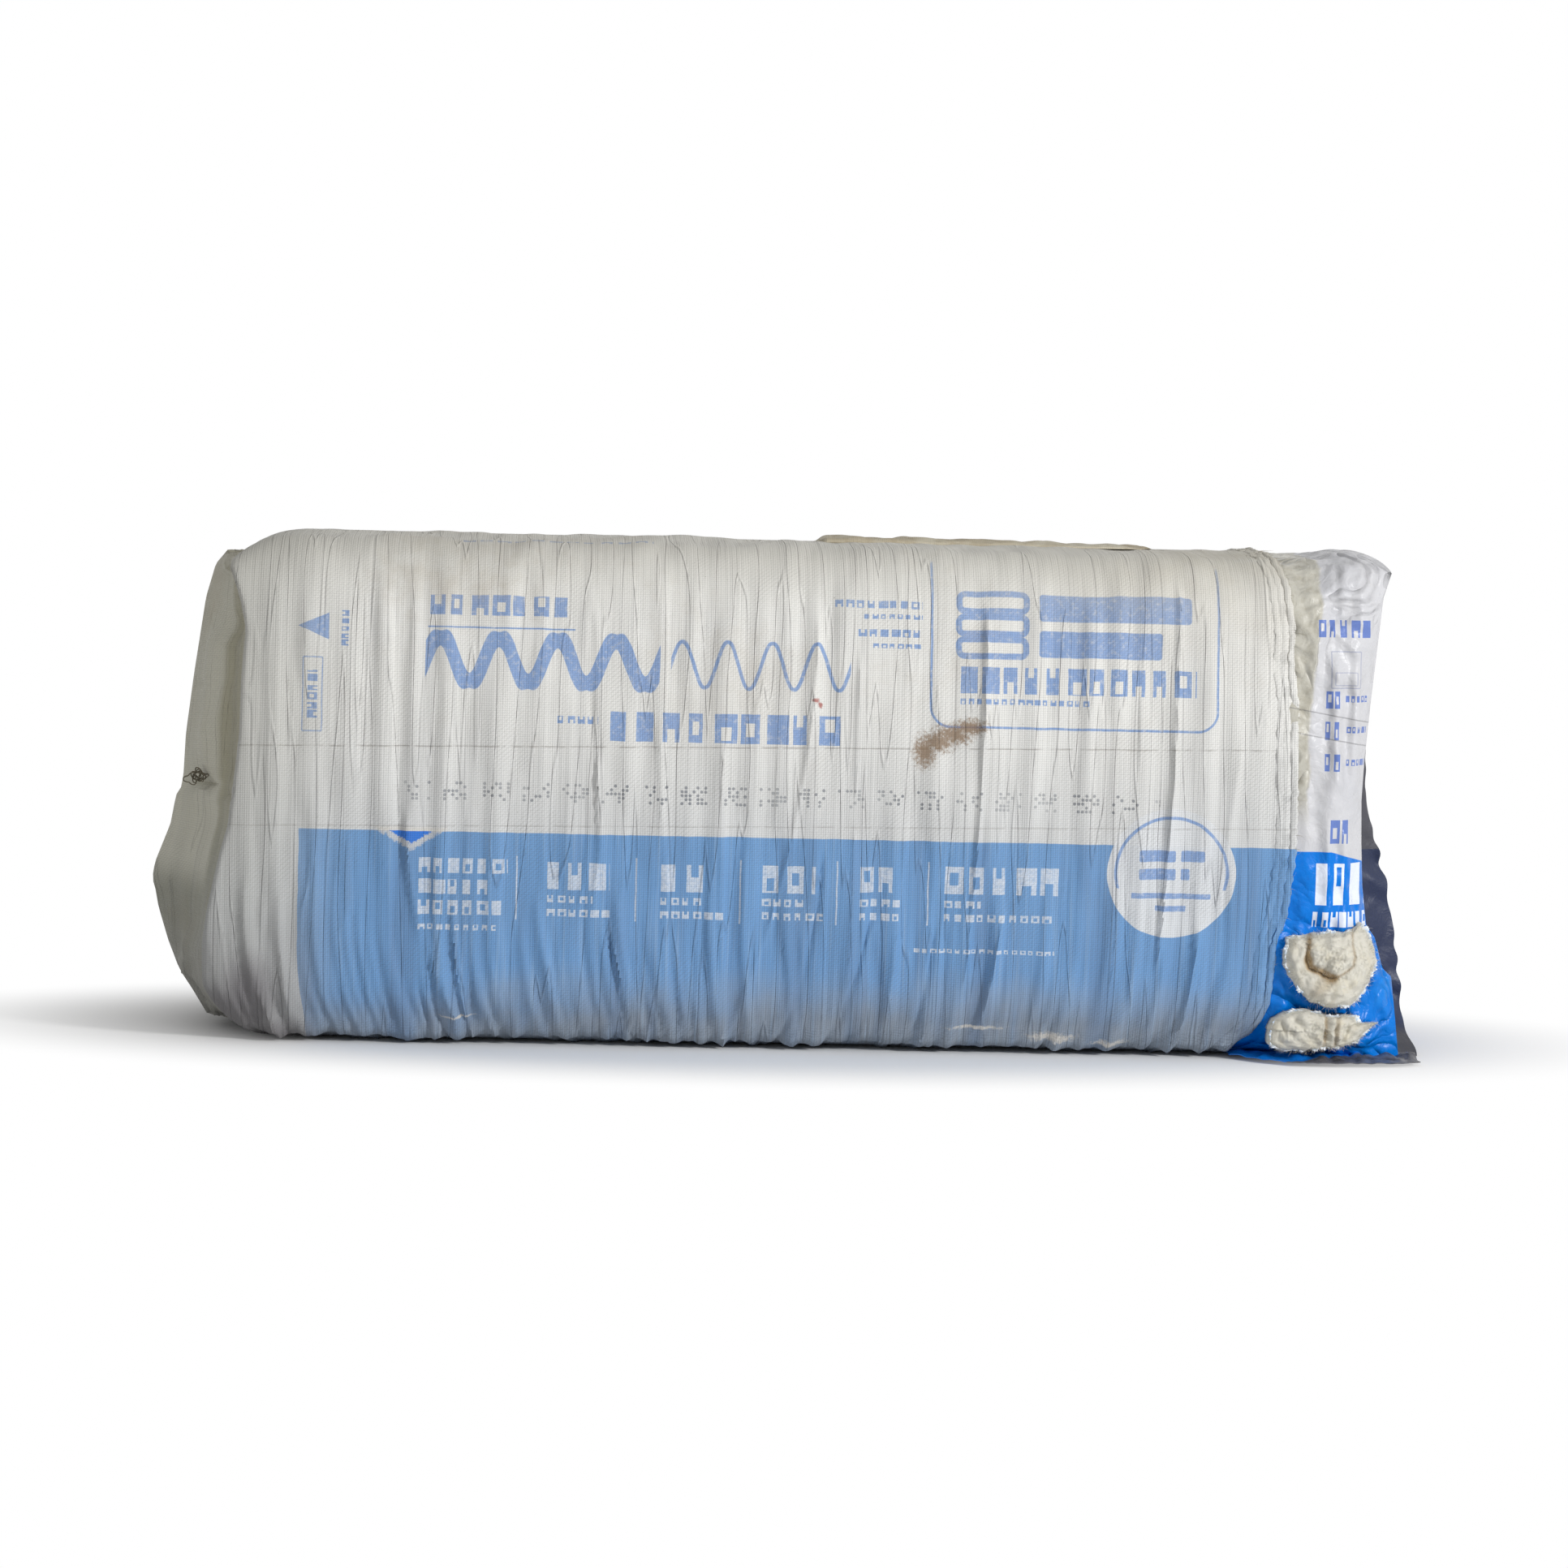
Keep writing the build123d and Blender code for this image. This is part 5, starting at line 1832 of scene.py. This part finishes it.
def wool_finish(colours):
    """Cream glass wool: matted fibres as stretched noise both ways, yellower and darker down in the folds,
    partly painted shade.
    """
    material = bpy.data.materials.get("glass wool")
    if material:
        return material
    material, tree, shader = start_material("glass wool")
    spot = object_place(tree)
    depth = point_mark(tree, "fold_depth")
    one = noise(spot, 1.0, 5.0, 0.7, stretch=(900.0, 300.0, 160.0), bend=1.5)
    two = noise(spot, 1.0, 5.0, 0.7, stretch=(180.0, 300.0, 900.0), bend=1.5)
    matted = one * 0.5 + two * 0.5
    blotch = noise(spot, 55.0, 5.0, 0.6)
    base = mix(ramp(blotch, 0.42, 0.75, 0.0, 0.4), colours.wool[:], paint(206, 196, 168))
    # Yellower and darker in the folds: partly the wool's tint, partly painted shade
    base = mix(ramp(depth, 0.0, 1.0, 0.0, 0.9), base, colours.wool_deep_and_shade[:])
    base = mix(ramp(matted, 0.55, 0.35, 0.0, 0.25), base, paint(190, 182, 160))
    normal = bump(matted, 0.7, 0.0014)
    rough = ramp(matted, 0.3, 0.7, 0.85, 1.0)
    dress(shader, Base_Color=base, Roughness=rough, Normal=normal, Specular_IOR_Level=0.15, Sheen_Weight=0.25)
    return material


# The stage


class PACK_OT_stage(bpy.types.Operator):
    """Sets out the pale floor, the soft lamps and the camera"""

    bl_idname = "pack.stage"
    bl_label = "Stage"

    def execute(self, context):
        scene = context.scene
        scene.view_settings.view_transform = "Standard"
        self.floor()
        self.sky(scene)
        self.lamp("key lamp", (4.6, -4.6, 2.5), 1.1, 345.0, (0.0, -0.2, 0.25))
        self.lamp("front lamp", (-1.2, -5.6, 1.6), 3.0, 44.0, (0.0, 0.0, 0.25))
        self.lamp("top lamp", (0.0, -0.9, 3.6), 3.2, 12.0, (0.0, -0.4, 0.0))
        self.camera(scene)
        return {"FINISHED"}

    def floor(self):
        """A wide plane that shows white away from the pack and takes its shadow near it."""
        corners = [(-9, -9, 0), (9, -9, 0), (9, 9, 0), (-9, 9, 0)]
        mesh = bpy.data.meshes.new("floor")
        mesh.from_pydata(corners, [], [(0, 1, 2, 3)])
        floor = bpy.data.objects.new("floor", mesh)
        bpy.context.scene.collection.objects.link(floor)
        material, tree, shader = start_material("pale floor")
        dress(shader, Base_Color=(0.86, 0.86, 0.86, 1.0), Roughness=0.9, Specular_IOR_Level=0.0)
        glow = tree.nodes.new("ShaderNodeEmission")
        x, y, _ = split(object_place(tree))
        wide = x / 1.9
        far = calc("SQRT", wide * wide + y * y)
        seen = seen_directly(tree)
        blend = tree.nodes.new("ShaderNodeMixShader")
        put(blend.inputs[0], seen * ramp(far, 0.3, 0.56))
        put(blend.inputs[1], Field(shader.outputs[0]))
        put(blend.inputs[2], Field(glow.outputs[0]))
        put(tree.nodes["Material Output"].inputs[0], Field(blend.outputs[0]))
        mesh.materials.append(material)

    def sky(self, scene):
        """Even pale light, which shows as white."""
        world = bpy.data.worlds.new("studio")
        scene.world = world
        world.use_nodes = True
        tree = world.node_tree
        back = tree.nodes["Background"]
        seen = seen_directly(tree)
        back.inputs["Color"].default_value = (1.0, 1.0, 1.0, 1.0)
        put(back.inputs["Strength"], ramp(seen, 0.0, 1.0, 0.3, 1.0))

    def lamp(self, name, place, size, power, aim):
        """A square soft lamp at a place, turned to shine at its aim."""
        light = bpy.data.lights.new(name, "AREA")
        light.size, light.energy = size, power
        lamp = bpy.data.objects.new(name, light)
        lamp.location = place
        lamp.rotation_euler = (Vector(aim) - Vector(place)).to_track_quat("-Z", "Y").to_euler()
        bpy.context.scene.collection.objects.link(lamp)

    def camera(self, scene):
        """The camera 5 m in front, a little to the left and above, rolled a little."""
        yaw, rise, roll = np.radians([3.0, 3.5, 1.4])
        aim = Vector((-0.004, -0.24, 0.297))
        back = Vector((-np.sin(yaw) * np.cos(rise), -np.cos(yaw) * np.cos(rise), np.sin(rise)))
        data = bpy.data.cameras.new("camera")
        data.sensor_width = 36.0
        data.lens = 36.0 * 5.0 / 1.712
        camera = bpy.data.objects.new("camera", data)
        turn = (-back).to_track_quat("-Z", "Y").to_matrix().to_4x4()
        camera.matrix_world = Matrix.Translation(aim + 5.0 * back) @ turn @ Matrix.Rotation(roll, 4, "Z")
        scene.collection.objects.link(camera)
        scene.camera = camera


OPERATORS = [
    PACK_OT_woven_bag,
    PACK_OT_end_knot,
    PACK_OT_hem,
    PACK_OT_top_lap,
    PACK_OT_film_bag,
    PACK_OT_film_flap,
    PACK_OT_batts,
    PACK_OT_wool,
    PACK_OT_stage,
]


class PACK_PT_panel(bpy.types.Panel):
    """Lists the pack's pieces, its sizes, its colours and its wear."""

    bl_idname = "PACK_PT_panel"
    bl_label = "Batt pack"
    bl_space_type = "VIEW_3D"
    bl_region_type = "UI"
    bl_category = "Batt pack"

    def draw(self, context):
        for operator in OPERATORS:
            self.layout.operator(operator.bl_idname)
        scene = context.scene
        for group in (scene.pack_sizes, scene.pack_colours, scene.pack_wear):
            box = self.layout.box()
            for name in group.__annotations__:
                box.prop(group, name)


CLASSES = [PackSizes, PackColours, PackWear, *OPERATORS, PACK_PT_panel]


def register():
    for item in CLASSES:
        bpy.utils.register_class(item)
    bpy.types.Scene.pack_sizes = PointerProperty(type=PackSizes)
    bpy.types.Scene.pack_colours = PointerProperty(type=PackColours)
    bpy.types.Scene.pack_wear = PointerProperty(type=PackWear)


def unregister():
    del bpy.types.Scene.pack_sizes, bpy.types.Scene.pack_colours, bpy.types.Scene.pack_wear
    for item in reversed(CLASSES):
        bpy.utils.unregister_class(item)


def main():
    register()
    for operator in OPERATORS:
        getattr(bpy.ops.pack, operator.bl_idname.split(".")[1])()


if __name__ == "__main__":
    main()
